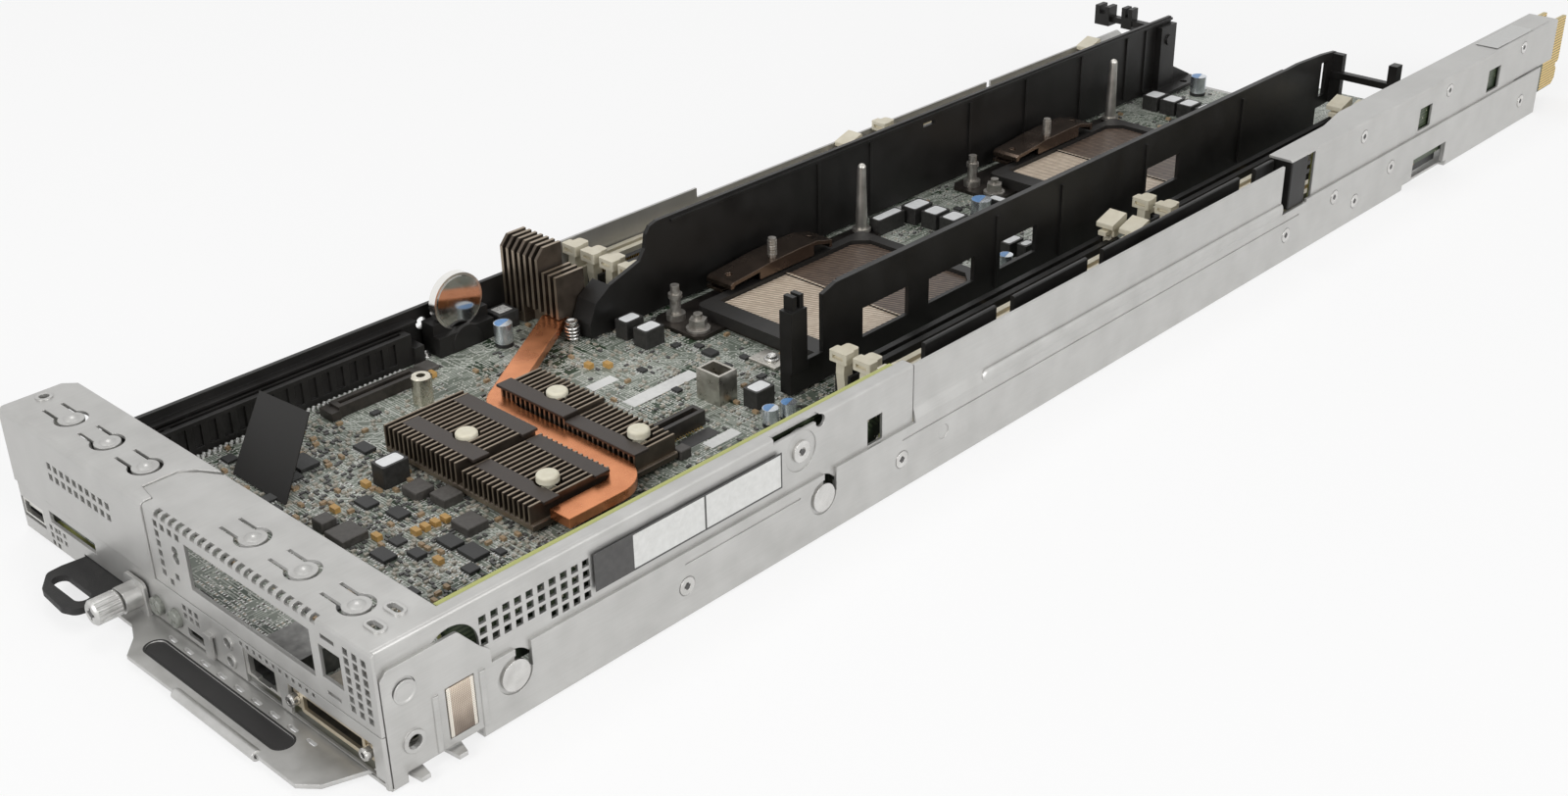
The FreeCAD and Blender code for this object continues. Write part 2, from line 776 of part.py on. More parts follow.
def cell_holder():
    body = box(-85.4, -76.0, 142.6, 165.8, board_top + seat, 17.0)
    hollow = rod(-82.2 - running, 154.2, 22.4, 10.0 + running, 3.2 + 2 * running, V(1, 0, 0))
    front = rod(-79.1, 154.2, 22.4, 8.9 + running, 6, V(1, 0, 0))
    slope = box(-79.0, -75, 141, 167, 13.0, 18)
    arm = box(-84.6, -83.2, 150.2, 158.2, 16.8, 25.0)
    tip = rod(-77.2, 154.2, 8.0, 6.2, 1.4, V(1, 0, 0)).common(box(-80, -70, 140, 170, board_top + seat, 30))
    return fuse([cut(body, [hollow, front, slope]), arm, tip])


def can_capacitor(x, y, radius, height):
    body = rod(x, y, board_top + seat, radius, height)
    groove = rod(x, y, board_top + 1.0, radius + 1, 0.5).cut(rod(x, y, board_top, radius - 0.35, 3))
    return body.cut(groove)


def capacitors():
    cans = [
        (-68.2, 163.6, 3.2, 8.4),
        (-16.2, 361.0, 4.0, 7.2),
        (22.4, 326.2, 2.6, 6.2),
        (-30.6, 541.2, 3.5, 8.8),
        (40.9, 189.4, 2.6, 6.4),
        (39.4, 182.7, 2.6, 6.4),
    ]
    return group(can_capacitor(*can) for can in cans)


def inductors():
    blocks = [
        (-21.8, 82.6, 6.4, 9.4, 7.4),
        (-41.6, 197.4, 6.0, 8.4, 6.6),
        (-31.6, 197.2, 6.6, 8.8, 6.6),
        (26.6, 190.8, 6.4, 8.4, 6.4),
        (-35.4, 326.8, 5.4, 15.2, 6.2),
        (-33.0, 341.9, 7.4, 11.0, 6.4),
        (-23.6, 341.9, 7.4, 9.0, 6.4),
        (-14.6, 341.9, 7.4, 9.0, 6.4),
        (-14.4, 369.2, 7.4, 5.0, 5.4),
        (15.6, 338.6, 5.0, 9.0, 6.2),
        (21.6, 339.6, 4.4, 6.0, 6.2),
        (-35.0, 512.6, 7.8, 9.0, 6.4),
        (-26.0, 512.6, 7.6, 9.0, 6.4),
        (-17.4, 512.6, 7.4, 9.0, 6.4),
        (-8.8, 512.6, 6.0, 9.0, 6.4),
    ]
    made = []
    for x, y, wide, deep, height in blocks:
        made.append(box(x - wide / 2, x + wide / 2, y - deep / 2, y + deep / 2, board_top + seat, board_top + height))
    return group(long_round(m, 0.5, V(0, 0, 1)) for m in made)


def comb(x0, x1, y0, y1, z0, z1, bar_y0, bar_y1):
    """Upright fins across X on a common base, joined along a solid bar."""
    points = [(x0, z0)]
    count = int((x1 - x0 - fin_thickness) / fin_pitch)
    x = x0
    for k in range(count + 1):
        points += [(x, z1), (x + fin_thickness, z1)]
        if k < count:
            points += [(x + fin_thickness, z0 + sink_base), (x + fin_pitch, z0 + sink_base)]
        x += fin_pitch
    last = x - fin_pitch + fin_thickness
    points.append((last, z0))
    fins = prism_y(points, y0, y1)
    bar = box(x0, last, bar_y0, bar_y1, z1 - 3.4, z1)
    return fuse([fins, bar])


def heatsink():
    base = box(sink_x0, sink_x1 + 1.6, sink_y0, sink_y1, board_top + 1.2, board_top + 1.2 + sink_base)
    base_z = board_top + 1.2
    step_x = 1.4
    blocks = [
        (sink_x0, step_x, sink_y0, sink_gap_y0, sink_high, (sink_y0 + 0.01, sink_y0 + 6.6)),
        (sink_x0, step_x, sink_y0, sink_gap_y0, sink_high, (sink_gap_y0 - 6.6, sink_gap_y0 - 0.01)),
        (step_x + 0.6, sink_x1 + 1.6, sink_y0, sink_gap_y0, sink_low, (sink_y0 + 0.01, sink_y0 + 6.6)),
        (step_x + 0.6, sink_x1 + 1.6, sink_y0, sink_gap_y0, sink_low, (sink_gap_y0 - 6.6, sink_gap_y0 - 0.01)),
        (sink_x0, step_x, sink_gap_y1, sink_y1, sink_high, (sink_gap_y1 + 0.01, sink_gap_y1 + 6.0)),
        (step_x + 0.6, sink_x1 + 1.6, sink_gap_y1, sink_y1, sink_low, (sink_gap_y1 + 0.01, sink_gap_y1 + 6.0)),
    ]
    solids = [base]
    for x0, x1, y0, y1, z1, bar in blocks:
        solids.append(comb(x0, x1, y0, y1, base_z, z1, bar[0], bar[1]))
    body = fuse(solids)
    cuts = []
    for dx in (0, pin_pitch_x):
        for dy in (0, pin_pitch_y):
            x, y = pin_x + dx, pin_y + dy
            cuts.append(rod(x, y, base_z - 1, 1.7, 5))
            cuts.append(rod(x, y, base_z + sink_base, pin_head + 0.7, 30))
    room = heat_pipe(0.25).cut(box(sink_x0 - 9, sink_x1 + 30, 0, 200, base_z, base_z + sink_base))
    return cut(body, cuts + [room])


def push_pins():
    made = []
    for dx in (0, pin_pitch_x):
        for dy in (0, pin_pitch_y):
            x, y = pin_x + dx, pin_y + dy
            shank = rod(x, y, board_top + seat, 1.5, pin_top - 2.2 - board_top)
            collar = rod(x, y, board_top + 1.2 + sink_base + 0.04, 2.6, 3.0)
            head = rod(x, y, pin_top - 2.4, pin_head, 2.4)
            head = head.makeFillet(0.9, [e for e in head.Edges if abs(e.BoundBox.ZMin - pin_top) < 0.01])
            made.append(fuse([shank, collar, head]))
    return group(made)


def heat_pipe(grow=0.0):
    """A flattened copper pipe swept along its bent centre line, or the room it needs."""
    z = board_top + 1.2 + sink_base + 0.04 + pipe_thickness / 2
    line = [V(-62.2, 181.4, z), V(-32.0, 134.4, z)]
    corner = V(-27.6, 129.2, z)
    second = [V(-20.0, 126.4, z), V(29.6, 126.4, z)]
    bend = V(36.0, 123.6, z)
    third = [V(38.6, 117.4, z), V(38.6, 97.0, z)]
    edges = [
        Part.LineSegment(line[0], line[1]).toShape(),
        Part.Arc(line[1], corner, second[0]).toShape(),
        Part.LineSegment(second[0], second[1]).toShape(),
        Part.Arc(second[1], bend, third[0]).toShape(),
        Part.LineSegment(third[0], third[1]).toShape(),
    ]
    path = Part.Wire(edges)
    along = line[1].sub(line[0]).normalize()
    side = along.cross(V(0, 0, 1)).normalize()
    wide = pipe_width / 2 + grow
    tall = pipe_thickness / 2 + grow
    corners = []
    for u, w in ((-1, -1), (1, -1), (1, 1), (-1, 1)):
        point = V(line[0]).add(V(side).multiply(u * wide)).add(V(0, 0, w * tall))
        corners.append(point)
    section = Part.makePolygon(corners + corners[:1])
    sweep = Part.BRepOffsetAPI.MakePipeShell(path)
    sweep.setTransitionMode(2)
    sweep.setBiNormalMode(V(0, 0, 1))
    sweep.add(section)
    sweep.build()
    sweep.makeSolid()
    return sweep.shape()


def fin_stack():
    base = box(stack_x, -57.6, stack_y0, stack_y1, board_top + 0.4, board_top + 1.2 + sink_base)
    made = [base]
    for k in range(7):
        x = stack_x + k * stack_pitch
        points = [
            (stack_y0, board_top + 1.2),
            (stack_y1, board_top + 1.2),
            (stack_y1, stack_top),
            (stack_y0 + 3.2, stack_top),
            (stack_y0, stack_top - 3.6),
        ]
        made.append(prism_x(points, x, x + 1.3))
    for k in range(3):
        x = stack_x + (7 + k) * stack_pitch
        points = [
            (stack_y0, board_top + 1.2),
            (stack_y1 + 1.4, board_top + 1.2),
            (stack_y1 + 1.4, stack_low_top),
            (stack_y0, stack_low_top),
        ]
        made.append(prism_x(points, x, x + 1.3))
    web = box(stack_x, stack_x + 9.0 * stack_pitch, stack_y0 + 4.6, stack_y0 + 6.4, board_top + 2, 26.0)
    body = fuse(made + [web])
    room = box(-76.0, -54.0, stack_y0 - 3, stack_y0 + 4.4, board_top - 1, board_top + 1.2 + sink_base + pipe_thickness + 0.4)
    return body.cut(room)


# Processor positions

def socket(dy):
    """The open processor socket: a frame round the two recessed contact fields."""
    y = cpu_y + dy
    z0 = board_top + bolster_thickness + seat
    z1 = z0 + frame_thickness
    x0, x1 = cpu_x - frame_half_x, cpu_x + frame_half_x
    body = box(x0, x1, y - frame_front, y + frame_back, z0, z1)
    body = long_round(body, 3.0, V(0, 0, 1))
    field = prism_z(
        [
            (cpu_x - field_half_x, y - field_front + 0.6),
            (cpu_x - field_half_x + 0.6, y - field_front),
            (cpu_x + field_half_x, y - field_front),
            (cpu_x + field_half_x, y + field_back - 5),
            (cpu_x + field_half_x - 5, y + field_back),
            (cpu_x - field_half_x + 5, y + field_back),
            (cpu_x - field_half_x, y + field_back - 5),
        ],
        z1 - 1.5,
        z1 + 1,
    )
    rib = box(cpu_x - field_half_x - 1, cpu_x + field_half_x + 1, y - 0.35, y + 0.35, z1 - 1.6, z1 - 0.9)
    return fuse([body.cut(field), rib])


def bolster(dy):
    """The retention plate under the socket, with its tapered guide post."""
    y = cpu_y + dy
    z0 = board_top + seat
    x1 = cpu_x + frame_half_x - 2.6
    plate = prism_z(
        [
            (plate_left + 2.6, y + tongue_front),
            (tongue_right - 2.6, y + tongue_front),
            (tongue_right, y + tongue_front + 2.6),
            (tongue_right, y - frame_front + 1.0),
            (x1, y - frame_front + 1.0),
            (x1, y + frame_back - 1.0),
            (plate_left + 12.0, y + frame_back - 1.0),
            (plate_left + 12.0, y + post_y + 3.6),
            (plate_left + 1.6, y + post_y + 3.6),
            (plate_left, y + post_y + 2.0),
            (plate_left, y + tongue_front + 3.6),
        ],
        z0,
        z0 + bolster_thickness - seat,
    )
    opening = box(cpu_x - 24, cpu_x + 24, y - 38, y + 42, z0 - 1, z0 + 5)
    foot = rod(post_x, y + post_y, z0, 3.6, 3.6)
    post = Part.makeCone(2.4, 1.6, 24.6, V(post_x, y + post_y, z0 + 3.4))
    tip = Part.makeSphere(1.6, V(post_x, y + post_y, z0 + 28.0))
    return fuse([plate.cut(opening), foot, post, tip])


def spring_bar(dy):
    """The sprung load bar beside the socket: a bowed strip with folded ends on a foot."""
    y = cpu_y + dy
    z0 = board_top + bolster_thickness
    front, rear = y + bar_front, y + bar_rear
    upper = [
        (front, z0 + 5.8),
        (front, z0 + 7.4),
        (front + 1.4, z0 + 8.2),
        (front + 14.4, z0 + 9.1),
        (front + 20.4, z0 + 9.7),
        (rear - 17.0, z0 + 10.1),
        (rear - 8.0, z0 + 10.0),
        (rear - 3.0, z0 + 8.6),
        (rear, z0 + 8.0),
        (rear, z0 + 5.2),
    ]
    lower = [
        (rear - 1.3, z0 + 5.2),
        (rear - 1.3, z0 + 6.8),
        (rear - 3.6, z0 + 7.2),
        (rear - 8.4, z0 + 8.6),
        (rear - 17.0, z0 + 8.7),
        (front + 20.4, z0 + 8.3),
        (front + 14.4, z0 + 7.7),
        (front + 2.2, z0 + 6.8),
        (front + 1.4, z0 + 5.8),
    ]
    strip = prism_x(upper + lower, bar_x0, bar_x1)
    hem_x = cpu_x - frame_half_x - 0.7
    hem = box(bar_x0, hem_x, front - 0.2, front + 3.4, z0 + 3.4, z0 + 4.6)
    hem_web = box(bar_x0, hem_x, front + 2.2, front + 3.4, z0 + 3.4, z0 + 7.4)
    flange = box(bar_x1 - 1.2, bar_x1, front + 15.0, rear - 10.0, z0 + 4.8, z0 + 8.8)
    foot = box(bar_x0 + 1.2, hem_x, y - 14.0, y + 8.0, z0 + 0.03, z0 + 8.6)
    hole = rod(stud_x, y + stud_y, z0 - 1, 1.5 + running, 20)
    under = rod(stud_x, y + stud_y, z0 + 6.0, 2.4, 2.4)
    dimples = [rod((bar_x0 + bar_x1) / 2, at, z0 + 7.6, 1.3, 4) for at in (front + 5.0, rear - 6.0)]
    return cut(fuse([strip, hem, hem_web, flange, foot]), [hole, under] + dimples)


def load_studs():
    """The ringed studs pressed into the bars from below."""
    made = []
    for dy in (0, cpu_pitch):
        y = cpu_y + dy + stud_y
        z0 = board_top + bolster_thickness
        stud = rod(stud_x, y, z0 + 7.0, 1.5, 10.0)
        flange = rod(stud_x, y, z0 + 6.9, 2.1, 1.2)
        rings = [rod(stud_x, y, z0 + 10.6 + 1.0 * k, 1.75, 0.5) for k in range(6)]
        made.append(fuse([stud, flange] + rings))
    return group(made)


def corner_studs():
    made = []
    for dy in (0, cpu_pitch):
        x, y = -36.9, cpu_y + dy - 48.4
        z0 = board_top + bolster_thickness + 0.02
        parts = [rod(x, y, z0, 3.4, 2.4), rod(x, y, z0 + 2.3, 1.9, 6.0), rod(x, y, z0 + 8.2, 2.5, 1.6)]
        parts.append(rod(x, y, z0 + 9.7, 1.6, 3.2))
        made.append(fuse(parts))
    return group(made)


def corner_nuts():
    made = []
    for dy in (0, cpu_pitch):
        x, y = -24.8, cpu_y + dy - 49.4
        z0 = board_top + bolster_thickness + 0.02
        washer = rod(x, y, z0, 4.3, 1.0)
        head = hex_ring(x, y, z0 + 0.9, 5.6, 3.4, 1.5)
        stub = rod(x, y, z0, 1.6, 6.2)
        made.append(fuse([washer, head, stub]))
    return group(made)


# Memory sockets and latches

def bank_places():
    for side, first in (("left", left_bank_x), ("right", right_bank_x)):
        for bank in (0, 1):
            for slot in range(4):
                yield side, bank, slot, first + slot * memory_pitch, bank_y + bank * bank_pitch


def memory_socket(x, y):
    z0 = board_top + seat
    body = box(x - socket_width / 2, x + socket_width / 2, y, y + socket_length, z0, z0 + socket_height)
    groove = box(x - 1.0, x + 1.0, y + 4.4, y + socket_length - 4.4, z0 + 2.6, z0 + socket_height + 1)
    wells = [box(x - 2.2, x + 2.2, y - 1, y + 5.0, z0 + 0.8, z0 + socket_height + 1)]
    end = y + socket_length
    wells.append(box(x - 2.2, x + 2.2, end - 5.0, end + 1, z0 + 0.8, z0 + socket_height + 1))
    for pin_y in (y + latch_inset, end - latch_inset):
        wells.append(rod(x - 3.0, pin_y, z0 + latch_pin_rise, latch_pin + running, 6.0, V(1, 0, 0)))
    key = box(x - 1.0, x + 1.0, y + 74.4, y + 76.4, z0 + 2.6, z0 + 7.6)
    return fuse([cut(body, [groove] + wells), key])


def sockets(wanted):
    made = []
    for side, bank, slot, x, y in bank_places():
        ivory = slot % 2 == (1 if side == "right" else 0)
        if ivory == wanted:
            made.append(memory_socket(x, y))
    return group(made)


def latch(x, y, way):
    """One ejector latch on its pin at y. way is -1 at the front of a socket and 1 behind it."""
    z0 = board_top + seat
    pin_z = z0 + latch_pin_rise
    top = z0 + latch_height
    pin = rod(x - 2.9, y, pin_z, latch_pin, 5.8, V(1, 0, 0))
    stem = prism_x(
        [
            (y - way * 1.5, pin_z - 1.6),
            (y + way * 2.4, pin_z - 1.6),
            (y + way * 3.4, z0 + 10.2),
            (y + way * 3.0, top - 3.2),
            (y + way * 0.2, top - 3.2),
            (y - way * 0.9, z0 + 9.0),
        ],
        x - 1.7,
        x + 1.7,
    )
    hook_y = sorted([y - way * 0.6, y - way * 4.6])
    hook = box(x - 1.7, x + 1.7, hook_y[0], hook_y[1], z0 + 11.2, z0 + 12.8)
    spine = box(x - 1.0, x + 1.0, min(y, y + way * 1.4), max(y, y + way * 1.4), z0 + 9.0, top - 3.0)
    cap = front_cap(x, y - front_cap_reach, top) if way < 0 else rear_cap(x, y + rear_cap_reach, top)
    return fuse([pin, stem, hook, spine] + cap)


def front_cap(x, face, top):
    """A T shaped finger cap with a slot in its front face and narrower lobes behind."""
    bar = box(x - cap_half, x + cap_half, face, face + 4.2, top - 3.8, top)
    bar = long_round(bar, 0.5, V(0, 0, 1))
    bar = bar.cut(box(x - 2.2, x + 2.2, face - 1, face + 1.3, top - 2.7, top - 1.3))
    lobe = box(x - 2.6, x + 2.6, face + 3.6, face + 8.0, top - 3.4, top - 0.3)
    return [bar, long_round(lobe, 1.2, V(0, 0, 1))]


def rear_cap(x, back, top):
    """A thumb block whose top slopes down towards the module, on two ribs."""
    block = prism_x(
        [(back, top - 4.2), (back, top), (back - 9.0, top - 2.7), (back - 9.0, top - 4.8)],
        x - cap_half,
        x + cap_half,
    )
    block = long_round(block, 0.5, V(1, 0, 0))
    ribs = [box(x + a, x + a + 0.9, back - 6.2, back - 2.4, top - 8.3, top - 4.0) for a in (-2.6, 1.7)]
    return [block] + ribs


def latches(side, bank, way):
    made = []
    for place_side, place_bank, slot, x, y in bank_places():
        if (place_side, place_bank) == (side, bank):
            pin_y = y + latch_inset if way < 0 else y + socket_length - latch_inset
            made.append(latch(x, pin_y, way))
    return group(made)


# Air ducts

def duct_left():
    x0 = left_duct_x
    low = board_top + 1.0
    wall = prism_x(
        [
            (duct_front - 33.0, low),
            (duct_rear, low),
            (duct_rear, duct_top - 0.7),
            (duct_front, duct_top),
            (duct_front - 3.4, duct_top - 1.0),
            (duct_front - 5.3, duct_top - 3.4),
            (duct_front - 6.2, 31.7),
            (duct_front - 9.0, 27.8),
            (duct_front - 23.0, 23.6),
            (duct_front - 30.0, 19.0),
            (duct_front - 33.0, 12.0),
        ],
        x0 - duct_wall,
        x0,
    )
    rim = box(x0 - duct_wall, x0 + 0.9, duct_front + 6.0, duct_rear, duct_top - 2.2, duct_top - 1.2)
    foot = prism_x(
        [
            (duct_front - 33.0, low),
            (duct_front - 20.6, low),
            (duct_front - 20.6, 21.4),
            (duct_front - 23.0, 23.6),
            (duct_front - 30.0, 19.0),
            (duct_front - 33.0, 12.0),
        ],
        x0 - 9.2,
        x0 - duct_wall + 0.1,
    )
    ribs = []
    for y in (300, 330, 392, 430, 470, 505, 520, 533):
        ribs.append(box(x0 - 0.02, x0 + 0.7, y, y + 1.4, low + 2, duct_top - 3))
    column = box(x0 - 1.0, x0 + 3.2, duct_rear - 12.0, duct_rear, low, duct_top - 3.2)
    boss = rod(x0 + 1.6, duct_rear - 6.0, 30.4, 2.4, 2.4, V(1, 0, 0))
    gusset = prism_x(
        [(duct_rear - 0.5, low), (duct_rear + 17.0, low), (duct_rear + 17.0, low + 1.6), (duct_rear - 0.5, 17.0)],
        x0 - duct_wall,
        x0 + 1.6,
    )
    flat = box(x0 - duct_wall, x0 + 9.0, duct_rear - 20.0, duct_rear + 17.0, low, low + 1.4)
    bar = box(x0 - 38.4, x0 - 1.0, duct_rear - 2.0, duct_rear + 1.6, 31.0, 33.6)
    post_a = box(x0 - 38.8, x0 - 31.0, duct_rear - 4.0, duct_rear + 2.4, 29.4, 38.4)
    post_b = box(x0 - 25.3, x0 - 19.6, duct_rear - 2.4, duct_rear + 2.6, 29.4, 39.0)
    solids = [wall, rim, foot, column, boss, gusset, flat, bar, post_a, post_b]
    body = fuse(solids + ribs)
    cuts = [
        box(x0 - 4, x0 + 0.5, 363.0, 370.0, 34.4, 36.0),
        rod(x0 + 5.6, duct_rear + 6.0, low - 1, 1.7, 5),
        box(x0 - 36.4, x0 - 33.4, duct_rear - 4.0, duct_rear + 6.0, 34.6, 39.4),
        box(x0 - 23.1, x0 - 21.7, duct_rear - 3.0, duct_rear + 6.0, 34.6, 39.4),
    ]
    return cut(body, cuts)


def duct_right():
    x0 = right_duct_x
    low = board_top + 1.0
    wall = prism_x(
        [
            (duct_front - 2.6, low),
            (tail_rear - 13.0, low),
            (tail_rear - 13.0, 15.0),
            (tail_rear, 15.6),
            (tail_rear, 37.6),
            (tail_rear - 11.0, 38.8),
            (515.5, duct_top - 0.4),
            (506.0, duct_top - 0.7),
            (duct_front + 4.0, duct_top - 0.7),
            (duct_front - 2.6, 37.4),
        ],
        x0,
        x0 + duct_wall,
    )
    rim = box(x0 - 0.7, x0 + duct_wall, duct_front + 6.0, 505.0, duct_top - 1.9, duct_top - 0.7)
    base = box(x0 - 3.0, x0 + duct_wall, duct_front - 18.0, duct_front - 1.0, low, 14.8)
    clip = fuse(
        [
            box(x0 - 3.0, x0 + 2.2, duct_front - 18.0, duct_front - 10.6, 14.6, 36.0),
            box(x0 - 2.4, x0 + 1.6, duct_front - 16.6, duct_front - 11.6, 35.8, 41.0),
        ]
    )
    clip = clip.cut(box(x0 - 4, x0 + 4, duct_front - 14.8, duct_front - 13.4, 36.4, 42))
    link = box(x0 - 0.2, x0 + duct_wall, duct_front - 11.0, duct_front - 2.0, low, 17.0)
    frame = box(x0 + 1.0, x0 + 6.6, tail_rear - 3.0, tail_rear, 15.6, 37.4)
    bar = box(x0 + 1.0, tail_bar_end, tail_rear - 4.0, tail_rear - 0.8, 27.0, 29.8)
    post = box(tail_bar_end - 3.8, tail_bar_end, tail_rear - 5.4, tail_rear - 0.4, 26.9, 38.2)
    ribs = [box(x0 + duct_wall - 0.02, x0 + duct_wall + 0.7, y, y + 1.3, low + 2, duct_top - 4) for y in (306, 345, 400, 470)]
    body = fuse([wall, rim, base, clip, link, frame, bar, post] + ribs)
    cuts = [
        box(x0 - 3, x0 + 4, 235.0, 258.6, 15.0, 25.6),
        box(x0 - 3, x0 + 4, 269.4, 294.6, 15.2, 24.4),
        box(x0 - 3, x0 + 4, 309.4, 330.8, 14.6, 25.0),
        box(x0 - 3, x0 + 4, 235.0 + cpu_pitch, 258.6 + cpu_pitch, 15.0, 25.6),
        box(x0 - 3, x0 + 4, tail_rear - 11.8, tail_rear - 7.2, 20.0, 35.0),
    ]
    body = cut(body, cuts)
    return body


def duct_skirt():
    """The thin outer wall of the right duct, with gaps that show the last sockets."""
    x0, x1 = skirt_x, skirt_x + duct_wall
    low = board_top + seat
    wall = box(x0, x1, skirt_front, skirt_rear, low, skirt_top)
    wall = rounded(wall, 0.6, [(x0, None, skirt_top), (x1, None, skirt_top)])
    foot = box(x0 - skirt_foot, x1, skirt_front, skirt_rear, low, low + 4.0)
    gaps = [box(x0 - 2, x1 + 1, y0, y1, low + 6.0, skirt_top + 1) for y0, y1 in skirt_gaps]
    return cut(fuse([wall, foot]), gaps)


# The moving pieces at the connector face

def cam_handle():
    """The cam lever: lip, tongue, forked tail and the raised bracket for the thumbscrew."""
    z0, z1 = lever_z, lever_z + lever_thickness
    outline = [
        (neck_left + 9.0, -0.6),
        (neck_left + 9.0, -6.6),
        (lip_left - 2.8, -9.6),
        (lip_left + 3.0, lip_front - 0.2),
        (16.0, lip_front),
        (56.4, lip_front),
        (lip_right, lip_front),
        (lip_right + 4.9, lip_front + 4.1),
        (lip_right + 9.2, 1.4),
        (pivot_x + prong_reach - 5.4, pivot_y - 8.6),
        (pivot_x + prong_reach, pivot_y - 8.0),
        (pivot_x + prong_reach, pivot_y - 5.4),
        (pivot_x + prong_reach - 5.4, pivot_y - 4.4),
        (pivot_x + prong_reach - 5.4, pivot_y + 2.6),
        (pivot_x + prong_reach, pivot_y + 3.2),
        (pivot_x + prong_reach, pivot_y + 5.8),
        (pivot_x + prong_reach - 8.4, pivot_y + 8.2),
        (pivot_x - 5.0, pivot_y + 7.6),
        (pivot_x - 14.0, pivot_y - 2.0),
        (40.0, 3.4),
        (neck_left + 9.0, 2.2),
    ]
    plate = prism_z(outline, z0, z1)
    plate = plate.cut(rod(pivot_x, pivot_y, z0 - 1, pivot_radius + running, 5))
    recess = stadium(-2.6, 55.8, -7.6, 2.9, z1 - 0.35, z1 + 1)
    slots = [stadium(x, x + 3.0, -2.9, 0.5, z0 - 1, z1 + 1) for x in range(-4, 62, 8)]
    plate = cut(plate, [recess] + slots)
    roll = rod(18.0, lip_front + 0.4, (z0 + z1) / 2 - 0.3, 1.5, 37.0, V(1, 0, 0))
    roll = roll.cut(rod(17.0, lip_front + 0.4, (z0 + z1) / 2 - 0.3, 0.8, 40.0, V(1, 0, 0)))
    bracket = prism_z(
        [
            (neck_left + 9.4, -0.6),
            (neck_left - 1.2, -0.6),
            (neck_left - 1.2, -6.6),
            (neck_left + 9.4, -6.6),
        ],
        z0,
        z1,
    )
    upright = box(neck_left - 1.2, neck_left + 9.4, -1.6, -0.6, z0, screw_z + 4.8)
    upright = long_round(upright, 2.0, V(0, 1, 0)).cut(box(-90, 90, -3, 0, 0, z0))
    upright = upright.cut(rod(screw_x, -5, screw_z, 3.1 + running, 8, V(0, 1, 0)))
    return fuse([plate, roll, bracket, upright])


def handle_pivot():
    shank = rod(pivot_x, pivot_y, sheet + seat, pivot_radius, 2.1)
    head = rod(pivot_x, pivot_y, lever_z + lever_thickness + 0.03, pivot_radius + 1.6, 0.9)
    return fuse([shank, head])


def screw_collar():
    """The fixed ferrule pressed into the handle's bracket."""
    body = rod(screw_x, -6.6, screw_z, 3.9, 5.0, V(0, 1, 0))
    neck = rod(screw_x, -1.7, screw_z, 3.1, 1.2, V(0, 1, 0))
    bore = rod(screw_x, -8, screw_z, 2.2, 9, V(0, 1, 0))
    flat = box(screw_x - 5, screw_x + 5, -7, -1.62, screw_z + 3.2, screw_z + 6)
    return cut(fuse([body, neck]), [bore, flat])


def thumbscrew():
    head = rod(screw_x, -15.0, screw_z, screw_head, 8.2, V(0, 1, 0))
    head = head.makeChamfer(0.7, [e for e in head.Edges if len(e.Vertexes) == 1])
    grooves = []
    for k in range(18):
        angle = 2 * math.pi * k / 18
        x = screw_x + screw_head * math.cos(angle)
        z = screw_z + screw_head * math.sin(angle)
        grooves.append(rod(x, -14.2, z, 0.4, 6.6, V(0, 1, 0)))
    shank = rod(screw_x, -7.0, screw_z, 2.2 - running, 5.6, V(0, 1, 0))
    cross = [box(screw_x - 2.0, screw_x + 2.0, -16, -13.6, screw_z - 0.4, screw_z + 0.4)]
    cross.append(box(screw_x - 0.4, screw_x + 0.4, -16, -13.6, screw_z - 2.0, screw_z + 2.0))
    return fuse([cut(head, grooves + cross), shank])


def pull_tab():
    """The flat rubber loop in front of the panel."""
    z0, z1 = 3.9, 5.9
    outer = prism_z(
        [
            (-52.4, 2.4),
            (-52.4, -1.0),
            (-53.0, -7.0),
            (-52.6, -11.8),
            (-46.0, -16.6),
            (-34.0, -17.4),
            (-30.0, -15.6),
            (-28.4, -10.0),
            (-28.4, 2.4),
        ],
        z0,
        z1,
    )
    outer = rounded(outer, 3.0, [(-52.6, -11.8, None), (-46.0, -16.6, None), (-30.0, -15.6, None), (-34.0, -17.4, None)])
    return outer.cut(stadium(-46.4, -34.6, -10.9, 2.4, z0 - 1, z1 + 1))


def console_port():
    """The wide console connector between its two jack screws."""
    shell = box(53.2, 80.2, 0.6, 16.0, board_top + seat, 12.2)
    shell = long_round(shell, 0.8, V(0, 1, 0))
    mouth = box(54.4, 79.0, -1, 9.0, board_top + 1.2, 11.2)
    tongue = box(56.0, 77.4, 5.0, 10.0, 8.0, 9.6)
    flange = box(49.4, 84.0, 1.2, 2.0, board_top + seat, 12.2)
    body = fuse([shell, flange.cut(box(53.5, 79.9, 0, 3, 5, 12.0))])
    body = cut(body, [mouth, rod(51.4, -1, 9.0, 1.6, 6, V(0, 1, 0)), rod(82.0, -1, 9.0, 1.6, 6, V(0, 1, 0))])
    return fuse([body, tongue])


def jack_screws():
    made = []
    for x in (51.4, 82.0):
        post = rod(x, -1.6, 9.0, 1.55, 5.0, V(0, 1, 0))
        collar = rod(x, -1.2, 9.0, 1.75, 2.0, V(0, 1, 0))
        made.append(fuse([post, collar]).cut(rod(x, -3, 9.0, 0.8, 5, V(0, 1, 0))))
    return group(made)


def network_port():
    body = box(29.4, 44.8, 0.2, 18.0, board_top + seat, 13.7)
    mouth = box(31.0, 43.2, -1, 11.0, board_top + 0.9, 12.9)
    step = box(34.2, 40.0, -1, 11.0, board_top + 0.3, 8.0)
    body = cut(body, [mouth, step])
    comb_bar = box(32.0, 42.2, 7.0, 10.9, 10.4, 13.0)
    return fuse([body, comb_bar])


